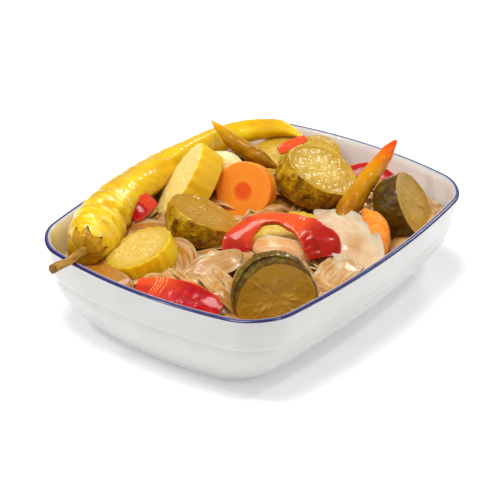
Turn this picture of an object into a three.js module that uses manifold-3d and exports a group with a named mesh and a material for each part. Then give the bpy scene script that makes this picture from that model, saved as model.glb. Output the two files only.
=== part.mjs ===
// A bowl of pickles: an oblong glazed dish with a dark painted lip, filled with shredded cabbage
// and heaped with gherkin ends, ridged marrow slices, carrot, red pepper, chillies and one long
// yellow pepper whose stem hangs over the lip.
//
// Millimetres, +Z up. The origin is the middle of the dish's flat foot, and the dish is long
// along X. Every piece of food is placed by the middle of the face or line that shows, and by
// the way it faces: an azimuth from +X and an elevation above the horizon, both in degrees.

import * as THREE from "three";
import { mergeVertices } from "three/addons/utils/BufferGeometryUtils.js";
import Module from "manifold-3d";

const wasm = await Module();
wasm.setup();

// ---------------------------------------------------------------- driving dimensions

// The dish's plan is a rounded rectangle whose sides bow out by a share of its half size.
const RIM = { halfLength: 89.2, halfWidth: 69.4, corner: 18.1, bow: 0.121 };
const FOOT = { halfLength: 72.2, halfWidth: 47.2, corner: 14.9, bow: 0.0986 };
const RIM_HEIGHT = 47.6;
const BAND_HEIGHT = 30.6; // the upright band runs from here to the lip
const BAND_LEAN = 3; // how far the band leans in from the lip to its lower edge
const BAND_LEDGE = 0.6; // the small step under the band
const LIP_WALL = 3; // wall thickness at the lip
const WALL = 4; // wall thickness near the floor
const FLOOR = 5.5;
const LIP_ROUND = 1.1;

const GAP = 0.3; // clearance between pieces that touch
const FINEST = 0.05; // edges shorter than this are merged after a cut
const HEAP_EDGE = 33; // height of the cabbage at the wall
const HEAP_CROWN = 6; // how much higher it is in the middle
// Dark gaps between the larger pieces: where each is in the plan, its radius and its depth.
const HOLLOWS = [
  [5, 16, 13, 8],
  [35, -10, 14, 6],
  [28, -62, 10, 5],
  [-33, 6, 9, 3],
];

const SLICE_SIDES = 20;
const COARSE_SIDES = 10; // of the plainer copies that press pockets into the cabbage

const COLOURS = {
  glaze: 0xe9e9e7,
  cabbage: 0xe9cfa4,
  leaf: 0xefdcc0,
  longPepper: 0xeccb1c,
  gherkin: 0x8f7d1e,
  ridged: 0xd6c34a,
  carrot: 0xf47a1c,
  redPepper: 0xd52a22,
  chilli: 0xc88a18,
};

// ---------------------------------------------------------------- small helpers

const radians = THREE.MathUtils.degToRad;
const lerp = THREE.MathUtils.lerp;

// A repeatable source of numbers from 0 to 1.
function seeded(seed) {
  let state = seed;
  return () => {
    state = (state * 1664525 + 1013904223) % 4294967296;
    return state / 4294967296;
  };
}

// The unit vector that an azimuth and an elevation give.
function facingVector(azimuth, elevation) {
  const [a, e] = [radians(azimuth), radians(elevation)];
  return new THREE.Vector3(Math.cos(e) * Math.cos(a), Math.cos(e) * Math.sin(a), Math.sin(e));
}

function geometryOf(points, triangles) {
  const geometry = new THREE.BufferGeometry().setFromPoints(points);
  geometry.setIndex(triangles);
  geometry.computeVertexNormals();
  return geometry;
}

// A closed skin over rings of points. Each ring runs anticlockwise seen from the last ring's
// side, and the first and last rings are closed by a fan.
function skinOver(rings) {
  const sides = rings[0].length;
  const points = rings.flat();
  const triangles = [];
  for (let r = 0; r < rings.length - 1; r++) {
    for (let i = 0; i < sides; i++) {
      const [a, b] = [r * sides + i, r * sides + ((i + 1) % sides)];
      triangles.push(a, b, b + sides, a, b + sides, a + sides);
    }
  }
  const middleOf = (ring) =>
    ring.reduce((sum, p) => sum.add(p), new THREE.Vector3()).divideScalar(ring.length);
  const first = points.push(middleOf(rings[0])) - 1;
  const last = points.push(middleOf(rings.at(-1))) - 1;
  const top = (rings.length - 1) * sides;
  for (let i = 0; i < sides; i++) {
    const next = (i + 1) % sides;
    triangles.push(first, next, i, last, top + i, top + next);
  }
  return geometryOf(points, triangles);
}

// A closed sheet: middleAt(u, v) is its middle surface, thicknessAt(u, v) its thickness, and both
// faces are split into triangles alike.
function sheetOver(rows, columns, middleAt, thicknessAt) {
  const nudge = 1e-3;
  const upper = [];
  const lower = [];
  for (let i = 0; i <= rows; i++) {
    for (let j = 0; j <= columns; j++) {
      const [u, v] = [i / rows, j / columns];
      const [u0, v0] = [Math.min(u, 1 - nudge), Math.min(v, 1 - nudge)];
      const here = middleAt(u0, v0);
      const along = middleAt(u0 + nudge, v0).sub(here);
      const across = middleAt(u0, v0 + nudge).sub(here);
      const half = along.cross(across).normalize().multiplyScalar(thicknessAt(u, v) / 2);
      const middle = middleAt(u, v);
      upper.push(middle.clone().add(half));
      lower.push(middle.clone().sub(half));
    }
  }
  const count = upper.length;
  const at = (i, j) => i * (columns + 1) + j;
  const triangles = [];
  for (let i = 0; i < rows; i++) {
    for (let j = 0; j < columns; j++) {
      const [a, b, c, d] = [at(i, j), at(i + 1, j), at(i + 1, j + 1), at(i, j + 1)];
      triangles.push(a, b, c, a, c, d);
      triangles.push(count + a, count + c, count + b, count + a, count + d, count + c);
    }
  }
  const border = [];
  for (let i = 0; i < rows; i++) border.push(at(i, 0));
  for (let j = 0; j < columns; j++) border.push(at(rows, j));
  for (let i = rows; i > 0; i--) border.push(at(i, columns));
  for (let j = columns; j > 0; j--) border.push(at(0, j));
  border.forEach((p, k) => {
    const q = border[(k + 1) % border.length];
    triangles.push(count + p, count + q, q, count + p, q, p);
  });
  return geometryOf([...upper, ...lower], triangles);
}

function solidOf(geometry) {
  const bare = geometry.clone();
  bare.deleteAttribute("normal");
  bare.deleteAttribute("uv");
  const merged = mergeVertices(bare, 1e-3);
  return new wasm.Manifold(
    new wasm.Mesh({
      numProp: 3,
      vertProperties: merged.attributes.position.array,
      triVerts: new Uint32Array(merged.index.array),
    }),
  );
}

// The largest body of a solid, as a geometry: loose scraps and sealed hollows are dropped.
function largestOf(solid) {
  const bodies = solid.simplify(FINEST).decompose().sort((a, b) => b.volume() - a.volume());
  const mesh = bodies[0].getMesh();
  const geometry = new THREE.BufferGeometry();
  geometry.setAttribute("position", new THREE.BufferAttribute(mesh.vertProperties, 3));
  geometry.setIndex(new THREE.BufferAttribute(mesh.triVerts, 1));
  geometry.computeVertexNormals();
  return geometry;
}

// ---------------------------------------------------------------- the dish

// The points round a bowed, rounded rectangle, anticlockwise seen from above.
function outlineAt({ halfLength, halfWidth, corner, bow }, height) {
  const arcSteps = 5;
  const sideSteps = [6, 4]; // even, so that a ring has a corner at the widest point of each side
  const corners = [
    [1, 1],
    [-1, 1],
    [-1, -1],
    [1, -1],
  ];
  const ring = [];
  corners.forEach(([sx, sy], quarter) => {
    const [cx, cy] = [sx * (halfLength - corner), sy * (halfWidth - corner)];
    for (let k = 0; k <= arcSteps; k++) {
      const angle = (Math.PI / 2) * (quarter + k / arcSteps);
      ring.push([cx + corner * Math.cos(angle), cy + corner * Math.sin(angle)]);
    }
    const [nx, ny] = corners[(quarter + 1) % 4];
    const from = ring.at(-1);
    const nextAngle = (Math.PI / 2) * (quarter + 1);
    const to = [
      nx * (halfLength - corner) + corner * Math.cos(nextAngle),
      ny * (halfWidth - corner) + corner * Math.sin(nextAngle),
    ];
    const steps = sideSteps[quarter % 2];
    for (let k = 1; k < steps; k++) {
      ring.push([lerp(from[0], to[0], k / steps), lerp(from[1], to[1], k / steps)]);
    }
  });
  return ring.map(([x, y]) => {
    const bowedX = x * (1 + bow * (1 - (y / halfWidth) ** 2));
    const bowedY = y * (1 + bow * (1 - (x / halfLength) ** 2));
    return new THREE.Vector3(bowedX, bowedY, height);
  });
}

function insetBy(plan, inset) {
  return {
    halfLength: plan.halfLength - inset,
    halfWidth: plan.halfWidth - inset,
    corner: Math.max(plan.corner - inset, 2),
    bow: plan.bow,
  };
}

// The plan of the dish's outer wall at a height.
function outerPlan(height) {
  if (height >= BAND_HEIGHT) {
    const drop = (RIM_HEIGHT - height) / (RIM_HEIGHT - BAND_HEIGHT);
    return insetBy(RIM, BAND_LEAN * drop);
  }
  const top = insetBy(RIM, BAND_LEAN + BAND_LEDGE);
  const share = Math.sin(((Math.PI / 2) * height) / BAND_HEIGHT) ** 0.95;
  const mix = (key) => lerp(FOOT[key], top[key], share);
  return { halfLength: mix("halfLength"), halfWidth: mix("halfWidth"), corner: mix("corner"), bow: mix("bow") };
}

// The plan of its inner wall, which curves in to the floor.
function innerPlan(height) {
  const wall = lerp(WALL, LIP_WALL, height / RIM_HEIGHT);
  const floorRound = 9;
  const above = height - FLOOR;
  const turnIn = above < floorRound ? floorRound - Math.sqrt(floorRound ** 2 - (floorRound - above) ** 2) : 0;
  return insetBy(outerPlan(height), wall + turnIn);
}

const INNER_HEIGHTS = [40, 32, 24, 16, 11, 7.6, FLOOR + 0.4];

function dishGeometry() {
  const footRound = 1.5;
  const outerHeights = [footRound, 6, 13, 21, BAND_HEIGHT - BAND_LEDGE];
  const rings = [outlineAt(insetBy(FOOT, footRound), 0)];
  outerHeights.forEach((z) => rings.push(outlineAt(outerPlan(z), z)));
  rings.push(outlineAt(outerPlan(BAND_HEIGHT), BAND_HEIGHT));
  rings.push(outlineAt(outerPlan(RIM_HEIGHT - LIP_ROUND), RIM_HEIGHT - LIP_ROUND));
  rings.push(outlineAt(insetBy(RIM, 0.35), RIM_HEIGHT - 0.35));
  rings.push(outlineAt(insetBy(RIM, LIP_ROUND), RIM_HEIGHT));
  rings.push(outlineAt(insetBy(RIM, LIP_WALL - LIP_ROUND), RIM_HEIGHT));
  rings.push(outlineAt(insetBy(RIM, LIP_WALL), RIM_HEIGHT - LIP_ROUND));
  INNER_HEIGHTS.forEach((z) => rings.push(outlineAt(innerPlan(z), z)));
  rings.push(outlineAt(insetBy(innerPlan(FLOOR + 0.4), 6), FLOOR));
  return skinOver(rings);
}

// ---------------------------------------------------------------- forms of the food
// Each form is a function of a clearance: the piece itself at 0, a little larger for cutting.

// A slice: its cut face is the plane z = 0 with the long axis along x, and it reaches down. Its
// far end is domed by a share of its radius, and lean moves that end sideways.
function slice(shape) {
  const { radius, stretch = 1, thickness, scallops = 0, depth = 0 } = shape;
  const { dome = 0, lean = [0, 0], wander = 0.025, seed = 1 } = shape;
  const random = seeded(seed);
  const phase = [random() * 6, random() * 6];
  const uneven = (angle) => Math.sin(2 * angle + phase[0]) + 0.6 * Math.sin(3 * angle + phase[1]);
  const rimAt = (angle) =>
    radius * (1 + wander * uneven(angle)) - depth * (0.5 + 0.5 * Math.cos(scallops * angle));
  const bevel = 0.9;
  const bands = dome > 0 ? 3 : 1;
  const rows = [[0, 1 - bevel / radius]];
  for (let k = 0; k <= bands; k++) {
    const down = lerp(bevel, thickness - bevel, k / bands);
    const scale = 1 - dome * (1 - Math.sqrt(1 - (k / bands) ** 3));
    rows.push([down, scale]);
  }
  rows.push([thickness, rows.at(-1)[1] - bevel / radius]);
  rows.reverse();
  return (gap, coarse) => {
    const sides = coarse ? COARSE_SIDES : scallops > 0 ? scallops * 2 : SLICE_SIDES;
    const grow = coarse ? gap + 0.4 + radius * (1 / Math.cos(Math.PI / sides) - 1) : gap;
    const rings = rows.map(([down, scale], k) => {
      const height = -down + (k === rows.length - 1 ? grow : 0) - (k === 0 ? grow : 0);
      const shift = down / thickness;
      return Array.from({ length: sides }, (_, i) => {
        const angle = (2 * Math.PI * i) / sides;
        const reach = rimAt(angle) * scale + grow;
        const x = reach * stretch * Math.cos(angle) + lean[0] * shift;
        return new THREE.Vector3(x, reach * Math.sin(angle) + lean[1] * shift, height);
      });
    });
    return skinOver(rings);
  };
}

// A tapering round body along a smooth line, as of a pepper or a chilli.
function pod({ line, radii, steps, sides = 10, folds = 0, foldDepth = 0 }) {
  const curve = new THREE.CatmullRomCurve3(line.map((p) => new THREE.Vector3(...p)), false, "centripetal");
  const frames = curve.computeFrenetFrames(steps, false);
  const radiusAt = (u) => {
    const place = u * (radii.length - 1);
    const k = Math.min(Math.floor(place), radii.length - 2);
    return lerp(radii[k], radii[k + 1], place - k);
  };
  return (gap, coarse) => {
    const rings = [];
    const round = coarse ? 7 : sides;
    const grow = coarse ? gap + 0.3 + 0.11 * Math.max(...radii) : gap;
    for (let k = 0; k <= steps; k += coarse ? 2 : 1) {
      const u = k / steps;
      const middle = curve.getPointAt(u);
      if (k === 0) middle.addScaledVector(frames.tangents[0], -grow);
      if (k === steps) middle.addScaledVector(frames.tangents[steps], grow);
      rings.push(
        Array.from({ length: round }, (_, i) => {
          const angle = (2 * Math.PI * i) / round;
          const fold = foldDepth * Math.sin(folds * angle + 9 * u);
          const radius = radiusAt(u) * (1 + fold) + grow;
          return middle
            .clone()
            .addScaledVector(frames.normals[k], radius * Math.cos(angle))
            .addScaledVector(frames.binormals[k], radius * Math.sin(angle));
        }),
      );
    }
    return skinOver(rings);
  };
}

// A strip or leaf along a smooth line. Each station is [x, y, z, azimuth, elevation, width]: a
// point of the middle line, the way the strip faces there, and its width. cup bends its edges
// away from the side it faces, and ripple waves them.
function strip({ stations, thickness, cup = 0, ripple = 0, waves = 2.5, rows = 10, columns = 4, taper = 0.25 }) {
  const curveOf = (values) => new THREE.CatmullRomCurve3(values, false, "centripetal");
  const line = curveOf(stations.map(([x, y, z]) => new THREE.Vector3(x, y, z)));
  const spreadAt = (u, index) => {
    const place = u * (stations.length - 1);
    const k = Math.min(Math.floor(place), stations.length - 2);
    const smooth = THREE.MathUtils.smoothstep(place - k, 0, 1);
    return { k, share: smooth, value: lerp(stations[k][index], stations[k + 1][index], smooth) };
  };
  const facingAt = (u) => {
    const { k, share } = spreadAt(u, 3);
    const from = facingVector(stations[k][3], stations[k][4]);
    const to = facingVector(stations[k + 1][3], stations[k + 1][4]);
    return from.lerp(to, share).normalize();
  };
  return (clearance, coarse) => {
    const gap = coarse ? clearance + 0.9 : 1.25 * clearance;
    const middleAt = (u, v) => {
      const along = line.getTangent(u);
      const facing = facingAt(u);
      facing.addScaledVector(along, -facing.dot(along)).normalize();
      const across = facing.clone().cross(along);
      const side = 2 * v - 1;
      const rounded = 1 - (coarse ? taper / 2 : taper) * Math.abs(2 * u - 1) ** 3;
      const half = (spreadAt(u, 5).value * rounded) / 2 + gap;
      const lift = -cup * side ** 2 * half + ripple * side * Math.sin(2 * Math.PI * waves * u + 2 * side);
      return line
        .getPoint(u)
        .addScaledVector(along, gap * (2 * u - 1))
        .addScaledVector(across, side * half)
        .addScaledVector(facing, lift);
    };
    const thicknessAt = (u, v) => thickness * (1 - 0.35 * Math.abs(2 * v - 1) ** 2) + 2 * gap;
    return sheetOver(coarse ? Math.ceil(rows / 2) : rows, coarse ? 2 : columns, middleAt, thicknessAt);
  };
}

// ---------------------------------------------------------------- placing the food

const bowl = new THREE.Group();
const pieces = [];

function addMesh(name, geometry, colour, roughness) {
  const material = new THREE.MeshStandardMaterial({ color: colour, roughness, metalness: 0 });
  const mesh = new THREE.Mesh(geometry, material);
  mesh.name = name;
  bowl.add(mesh);
  return mesh;
}

// Adds a piece and cuts away what an earlier piece already fills. A thin piece is cut by the
// plainer copies, which keeps its faces few.
function addPiece(name, form, colour, place = {}) {
  const mesh = addMesh(name, form(0), colour, 0.3);
  const { at = [0, 0, 0], facing, turn = 0, thin = false } = place;
  mesh.position.set(...at);
  if (facing) {
    mesh.rotateZ(radians(facing[0]));
    mesh.rotateY(radians(90 - facing[1]));
    mesh.rotateZ(radians(turn));
  }
  mesh.updateMatrixWorld(true);
  const toLocal = mesh.matrixWorld.clone().invert();
  let solid = solidOf(mesh.geometry);
  const before = solid.volume();
  pieces.forEach((other) => {
    const cutter = other.form(GAP, thin).applyMatrix4(other.mesh.matrixWorld).applyMatrix4(toLocal);
    solid = solid.subtract(solidOf(cutter));
  });
  if (solid.volume() < before - 1e-6) mesh.geometry = largestOf(solid);
  pieces.push({ mesh, form });
}

// ---------------------------------------------------------------- the dish and the long pepper

addMesh("dish", dishGeometry(), COLOURS.glaze, 0.15);

const PEPPER_LINE = [
  [-79, 45, 45],
  [-63.4, 51.2, 46],
  [-44, 58.2, 47],
  [-30.5, 61, 48.5],
  [-9.9, 63.8, 48.7],
  [9.8, 65, 49],
  [31.7, 64.6, 49],
  [52.3, 62.5, 49.2],
  [65.1, 57.5, 49.5],
  [74, 50.5, 50],
  [80.5, 43.3, 50],
  [83.4, 31.2, 48],
];
const PEPPER_RADII = [8, 12.3, 12.4, 12, 10.6, 9.4, 9, 8.8, 8.6, 8.2, 7.6, 7, 6.4, 6, 5.6, 4.6, 1];
const STEM_LINE = [
  [-74, 47, 45.5],
  [-82.6, 42.6, 46.5],
  [-91.8, 39.1, 49.2],
  [-99.5, 36.4, 50.4],
  [-105.3, 37.2, 50.5],
  [-111.2, 37.7, 50.4],
];
const STEM_RADII = [3.2, 2.2, 1.9, 1.9, 2.2];

const pepperBody = pod({ line: PEPPER_LINE, radii: PEPPER_RADII, steps: 30, sides: 11, folds: 3, foldDepth: 0.05 });
const pepperStem = pod({ line: STEM_LINE, radii: STEM_RADII, steps: 8, sides: 8 });
const longPepper = (gap, coarse) =>
  largestOf(solidOf(pepperBody(gap, coarse)).add(solidOf(pepperStem(gap, coarse))));
addPiece("long_pepper", longPepper, COLOURS.longPepper);

// ---------------------------------------------------------------- slices and ends

const gherkinEnd = (radius, thickness, seed, more = {}) =>
  slice({ radius, thickness, dome: 0.45, wander: 0.03, seed, ...more });

addPiece("carrot_disc", slice({ radius: 15, thickness: 10, wander: 0.01 }), COLOURS.carrot, {
  at: [16.3, 20.5, 46],
  facing: [-167, 27],
});
addPiece("gherkin_centre", gherkinEnd(19, 20, 2, { lean: [-4.5, -1.5] }), COLOURS.gherkin, {
  at: [52.2, -4.4, 52],
  facing: [-79, 65],
});
addPiece("gherkin_left", gherkinEnd(17.5, 17, 3), COLOURS.gherkin, {
  at: [-20, 17.1, 50],
  facing: [-44, 66],
});
addPiece("gherkin_front", gherkinEnd(19.7, 15, 4), COLOURS.gherkin, {
  at: [-58.7, -53.1, 43],
  facing: [-136, 11],
});
addPiece("gherkin_right", gherkinEnd(17.5, 19, 5), COLOURS.gherkin, {
  at: [56.8, -56.8, 46],
  facing: [-73, 31],
});
addPiece("ridged_wedge", slice({ radius: 12.2, stretch: 1.75, thickness: 15, scallops: 18, depth: 0.6 }), COLOURS.ridged, {
  at: [-1.8, 47.2, 52],
  facing: [138, 41],
  turn: -151,
});
addPiece("ridged_slice_front", slice({ radius: 16.8, thickness: 16, scallops: 20, depth: 0.7 }), COLOURS.ridged, {
  at: [-62.5, 25.1, 46],
  facing: [136, 68],
});

// ---------------------------------------------------------------- chillies and carrot

const CHILLI_LEFT_LINE = [
  [42.6, 20.1, 50],
  [41.2, 26.7, 52],
  [40.7, 45.7, 58],
  [44.3, 61.5, 63],
];
const CHILLI_RIGHT_LINE = [
  [25.4, -33.3, 43],
  [33.8, -32.3, 46.5],
  [41.5, -31.9, 50],
  [62.7, -31.2, 60],
  [76.5, -31.1, 66],
];
const CARROT_STICK_LINE = [
  [32.8, -43.1, 47],
  [25.9, -53.5, 44],
  [17.6, -59, 39],
  [6, -59.5, 33],
];
addPiece(
  "chilli_left",
  pod({ line: CHILLI_LEFT_LINE, radii: [1.5, 4, 4.6, 4.4, 3.9, 2.6, 0.6], steps: 14, sides: 8 }),
  COLOURS.chilli,
);
addPiece(
  "chilli_right",
  pod({ line: CHILLI_RIGHT_LINE, radii: [3.5, 6, 5.9, 5.2, 4.7, 4.3, 3.8, 3.2, 1.3], steps: 14, sides: 8 }),
  COLOURS.chilli,
);
addPiece(
  "carrot_right",
  pod({ line: CARROT_STICK_LINE, radii: [2.5, 5.6, 6.4, 6.6, 6.4, 5.5, 3.5], steps: 12, sides: 10 }),
  COLOURS.carrot,
);

// ---------------------------------------------------------------- red pepper

const ARCH = [
  [-30, -8, 39.5, -150, 20, 11],
  [-28.9, -8.6, 45, -152, 34, 14],
  [-21.7, -12.8, 51, -160, 62, 11],
  [-12.5, -15.6, 53.4, -150, 80, 9],
  [-6.5, -22.4, 54.2, -120, 84, 11],
  [-3.8, -32.1, 52.5, -120, 66, 15],
  [-3.8, -41.7, 47.6, -135, 42, 20],
  [-7.5, -46.5, 41, -138, 26, 17],
];
const RED_LEFT = [
  [-36, 51, 42, -170, 20, 13],
  [-31, 48.6, 47, -150, 62, 13],
  [-21.4, 48, 44, -60, 50, 11],
];
const RED_FRONT = [
  [-85.5, 7.3, 40, 170, 62, 11],
  [-82.4, -4.3, 41, 175, 60, 14],
  [-79.9, -17, 41, 180, 58, 15],
  [-79, -28.3, 40, -170, 55, 13],
  [-78.2, -35.4, 38, -165, 50, 9],
];
const RED_BACK = [
  [62, 30.8, 48, -150, 40, 5],
  [68.8, 27.2, 50, -150, 50, 6],
  [77.8, 25.2, 51, -150, 50, 4],
];
const RED_RIGHT = [
  [80.6, -2.2, 36, -150, 50, 12],
  [85.5, -11.1, 37, -150, 45, 14],
  [86.5, -24, 35.5, -160, 45, 12],
];
const redPepper = { thickness: 4, cup: 0.22, columns: 3 };
addPiece("red_arch", strip({ stations: ARCH, ...redPepper, rows: 16 }), COLOURS.redPepper);
addPiece("red_left", strip({ stations: RED_LEFT, ...redPepper, rows: 8 }), COLOURS.redPepper);
addPiece("red_front", strip({ stations: RED_FRONT, ...redPepper, rows: 12 }), COLOURS.redPepper);
addPiece("red_back", strip({ stations: RED_BACK, thickness: 2.5, rows: 6, columns: 2 }), COLOURS.redPepper);
addPiece("red_right", strip({ stations: RED_RIGHT, ...redPepper, rows: 8 }), COLOURS.redPepper);

// ---------------------------------------------------------------- slices lower in the heap

addPiece("gherkin_back_left", gherkinEnd(15, 12, 6), COLOURS.gherkin, {
  at: [65.9, 33.5, 43],
  facing: [-150, 74],
});
addPiece("gherkin_back_right", gherkinEnd(15, 12, 7), COLOURS.gherkin, {
  at: [76, 17, 42.5],
  facing: [-150, 64],
});
addPiece("ridged_slice_back", slice({ radius: 16.8, thickness: 13, scallops: 20, depth: 0.7 }), COLOURS.ridged, {
  at: [-1.5, -20, 44],
  facing: [160, 78],
});

// ---------------------------------------------------------------- cabbage leaves

const LEAF_RIGHT = [
  [22, -21, 43, -120, 62, 20],
  [14, -38.5, 46, -122, 58, 30],
  [4.6, -54, 45.5, -128, 45, 30],
  [-3, -63.5, 39, -130, 30, 26],
];
const LEAF_LEFT = [
  [-61.5, -5.1, 41, -150, 60, 8],
  [-55.7, -10.2, 44, -140, 62, 12],
  [-48.3, -14.7, 45, -130, 62, 13],
  [-37.5, -16.2, 43, -130, 55, 10],
];
const LEAF_UNDER_ARCH = [
  [-25.2, -16.3, 42.7, -144, 50, 9],
  [-23.2, -22.7, 45.2, -144, 55, 12],
  [-18.7, -30.2, 45.2, -144, 55, 12],
  [-14.6, -38, 42.2, -144, 45, 9],
];
const LEAF_BACK = [
  [17.4, 36.5, 41, -150, 20, 16],
  [21.2, 37.5, 49, -150, 22, 20],
  [28.6, 40.5, 56, -150, 30, 17],
];
const LEAF_CORNER = [
  [-57, -16, 43, -150, 50, 9],
  [-64.1, -26.5, 42, -150, 50, 11],
  [-71, -36, 37, -150, 40, 9],
];
const LEAF_FRONT = [
  [-8, -52, 42, -130, 55, 15],
  [-23.6, -57, 42, -130, 50, 17],
  [-36, -60, 37, -130, 40, 13],
];
const LEAF_SLICE = [
  [-50, 21, 38, -150, 60, 15],
  [-49.5, 12.5, 41.5, -150, 55, 18],
  [-56, 3.5, 41, -150, 50, 16],
  [-61, -0.5, 38, -150, 40, 10],
];
const LEAF_WALL = [
  [-46, 46, 41, -140, 55, 12],
  [-38, 38, 42.5, -140, 55, 14],
  [-33, 28, 40, -140, 50, 12],
];
const leaf = { thickness: 1.3, ripple: 0.9, cup: 0.12, rows: 9, columns: 3, taper: 0.45 };
const THIN = { thin: true };
const rib = { thickness: 3, ripple: 0.4, cup: 0.3, rows: 9, columns: 3, taper: 0.5 };
addPiece("leaf_left", strip({ stations: LEAF_LEFT, ...rib }), COLOURS.leaf, THIN);
addPiece("leaf_under_arch", strip({ stations: LEAF_UNDER_ARCH, ...rib, thickness: 2 }), COLOURS.leaf, THIN);
addPiece("leaf_right", strip({ stations: LEAF_RIGHT, ...leaf }), COLOURS.leaf, THIN);
addPiece("leaf_back", strip({ stations: LEAF_BACK, ...leaf, thickness: 2 }), COLOURS.leaf, THIN);
addPiece("leaf_corner", strip({ stations: LEAF_CORNER, ...leaf }), COLOURS.leaf, THIN);
addPiece("leaf_front", strip({ stations: LEAF_FRONT, ...leaf }), COLOURS.leaf, THIN);
addPiece("leaf_slice", strip({ stations: LEAF_SLICE, ...leaf }), COLOURS.leaf, THIN);
addPiece("leaf_wall", strip({ stations: LEAF_WALL, ...leaf }), COLOURS.leaf, THIN);

// ---------------------------------------------------------------- the heap of shredded cabbage

// How high the bare cabbage stands at a point of the plan.
function heapHeight(x, y) {
  const out = Math.min(1, Math.hypot(x / 95, y / 72));
  const crown = HEAP_CROWN * (1 - out ** 2);
  const lumps = 1.2 * Math.sin(x / 9 + 1.3 * Math.sin(y / 11)) + 0.9 * Math.cos(y / 7 - x / 17);
  const dents = HOLLOWS.map(([hx, hy, radius, depth]) => {
    const share = Math.hypot(x - hx, y - hy) / radius;
    return depth * Math.exp(-(share ** 2));
  });
  return HEAP_EDGE + crown + lumps - dents.reduce((sum, dent) => sum + dent);
}

// The bare heap: its sides stand just clear of the dish's inner wall.
function heapCore() {
  const sideHeights = INNER_HEIGHTS.filter((z) => z < HEAP_EDGE - 5).reverse().slice(1);
  const rings = sideHeights.map((z) => outlineAt(insetBy(innerPlan(z), GAP), z));
  const brim = outlineAt(insetBy(innerPlan(sideHeights.at(-1)), GAP), 0);
  const hoops = 7;
  for (let k = 0; k < hoops; k++) {
    const share = 1 - k / hoops;
    const round = k === 0 ? 2 : 0;
    const ring = brim.map(({ x, y }) => {
      const height = heapHeight(x * share, y * share) - round;
      return new THREE.Vector3(x * share, y * share, height);
    });
    rings.push(ring);
  }
  return solidOf(skinOver(rings));
}

// One shred of cabbage lying over the heap, wandering as it goes.
function shredOver(random) {
  const around = random() * 2 * Math.PI;
  const out = Math.sqrt(random()) * 0.92;
  let [x, y] = [88 * out * Math.cos(around), 66 * out * Math.sin(around)];
  let heading = random() * 360;
  const steps = 4;
  const stride = lerp(6, 11, random());
  const bend = lerp(-28, 28, random());
  const width = lerp(4, 10, random());
  const stations = [];
  for (let k = 0; k <= steps; k++) {
    const loft = 0.6 + 2.2 * Math.sin((Math.PI * k) / steps) * random();
    stations.push([x, y, heapHeight(x, y) + loft, heading + 90, lerp(55, 90, random()), width]);
    heading += bend;
    x += stride * Math.cos(radians(heading));
    y += stride * Math.sin(radians(heading));
  }
  const reach = Math.max(...stations.map(([px, py]) => Math.hypot(px / 86, py / 64)));
  return reach < 1 ? strip({ stations, thickness: 1.3, rows: 5, columns: 1, taper: 0.4 }) : null;
}

const SHREDS = 18;
const random = seeded(11);
let heap = heapCore();
for (let made = 0; made < SHREDS; ) {
  const shred = shredOver(random);
  if (!shred) continue;
  heap = heap.add(solidOf(shred(0)));
  made += 1;
}
pieces.forEach(({ mesh, form }) => {
  heap = heap.subtract(solidOf(form(GAP, true).applyMatrix4(mesh.matrixWorld)));
});
addMesh("cabbage_heap", largestOf(heap), COLOURS.cabbage, 0.35);

export default bowl;
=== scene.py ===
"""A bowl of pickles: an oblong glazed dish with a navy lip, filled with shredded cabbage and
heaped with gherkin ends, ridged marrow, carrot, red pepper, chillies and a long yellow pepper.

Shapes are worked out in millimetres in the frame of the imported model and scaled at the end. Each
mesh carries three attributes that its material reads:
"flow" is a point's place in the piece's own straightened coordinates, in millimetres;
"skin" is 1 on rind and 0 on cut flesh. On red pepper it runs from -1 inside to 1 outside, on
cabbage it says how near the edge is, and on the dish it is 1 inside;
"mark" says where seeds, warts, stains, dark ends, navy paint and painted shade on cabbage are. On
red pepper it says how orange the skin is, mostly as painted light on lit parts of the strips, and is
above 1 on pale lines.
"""

import itertools
import math
from types import SimpleNamespace

import bpy
import numpy as np
from mathutils import Matrix


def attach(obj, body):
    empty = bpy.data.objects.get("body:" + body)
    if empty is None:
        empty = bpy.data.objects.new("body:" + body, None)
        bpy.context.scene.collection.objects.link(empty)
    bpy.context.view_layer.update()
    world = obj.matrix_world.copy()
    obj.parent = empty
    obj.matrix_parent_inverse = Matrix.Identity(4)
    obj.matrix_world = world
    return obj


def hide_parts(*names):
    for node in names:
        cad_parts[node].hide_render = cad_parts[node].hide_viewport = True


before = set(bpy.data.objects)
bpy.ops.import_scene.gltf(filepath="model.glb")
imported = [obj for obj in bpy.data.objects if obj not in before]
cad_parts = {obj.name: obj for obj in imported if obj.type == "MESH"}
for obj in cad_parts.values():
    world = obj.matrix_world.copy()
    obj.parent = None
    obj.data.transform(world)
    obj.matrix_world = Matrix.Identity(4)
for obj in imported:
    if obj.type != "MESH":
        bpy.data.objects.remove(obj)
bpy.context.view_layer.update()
scene = bpy.context.scene
MM = 0.001
TURN = 2 * math.pi

# ---------------------------------------------------------------- camera

CAMERA_AT = (-730.805, -521.472, 514.221)
VIEW_RIGHT = (0.59030682, -0.80703336, 0.01533023)
VIEW_UP = (0.3778404, 0.29305581, 0.87826814)
VIEW_BACK = (-0.7132843, -0.51265529, 0.47792265)

camera_data = bpy.data.cameras.new("camera")
camera_data.lens = 147.045
camera_data.sensor_width = 36
camera = bpy.data.objects.new("camera", camera_data)
camera.matrix_world = Matrix.Translation([c * MM for c in CAMERA_AT]) @ Matrix(
    (VIEW_RIGHT, VIEW_UP, VIEW_BACK)
).transposed().to_4x4()
scene.collection.objects.link(camera)
scene.camera = camera

# ---------------------------------------------------------------- numbers and curves

HASH_PRIMES = np.array([73856093, 19349663, 83492791])
HASH_SEED = 2654435
HASH_MIX = 1274126177


def seeded(seed):
    """A repeatable source of numbers from 0 to 1."""
    factor, shift, span = 1664525, 1013904223, 2**32
    state = seed
    while True:
        state = (state * factor + shift) % span
        yield state / span


def lerp(a, b, share):
    return a + (b - a) * share


def unit(vectors):
    return vectors / np.maximum(np.linalg.norm(vectors, axis=-1, keepdims=True), 1e-12)


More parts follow.
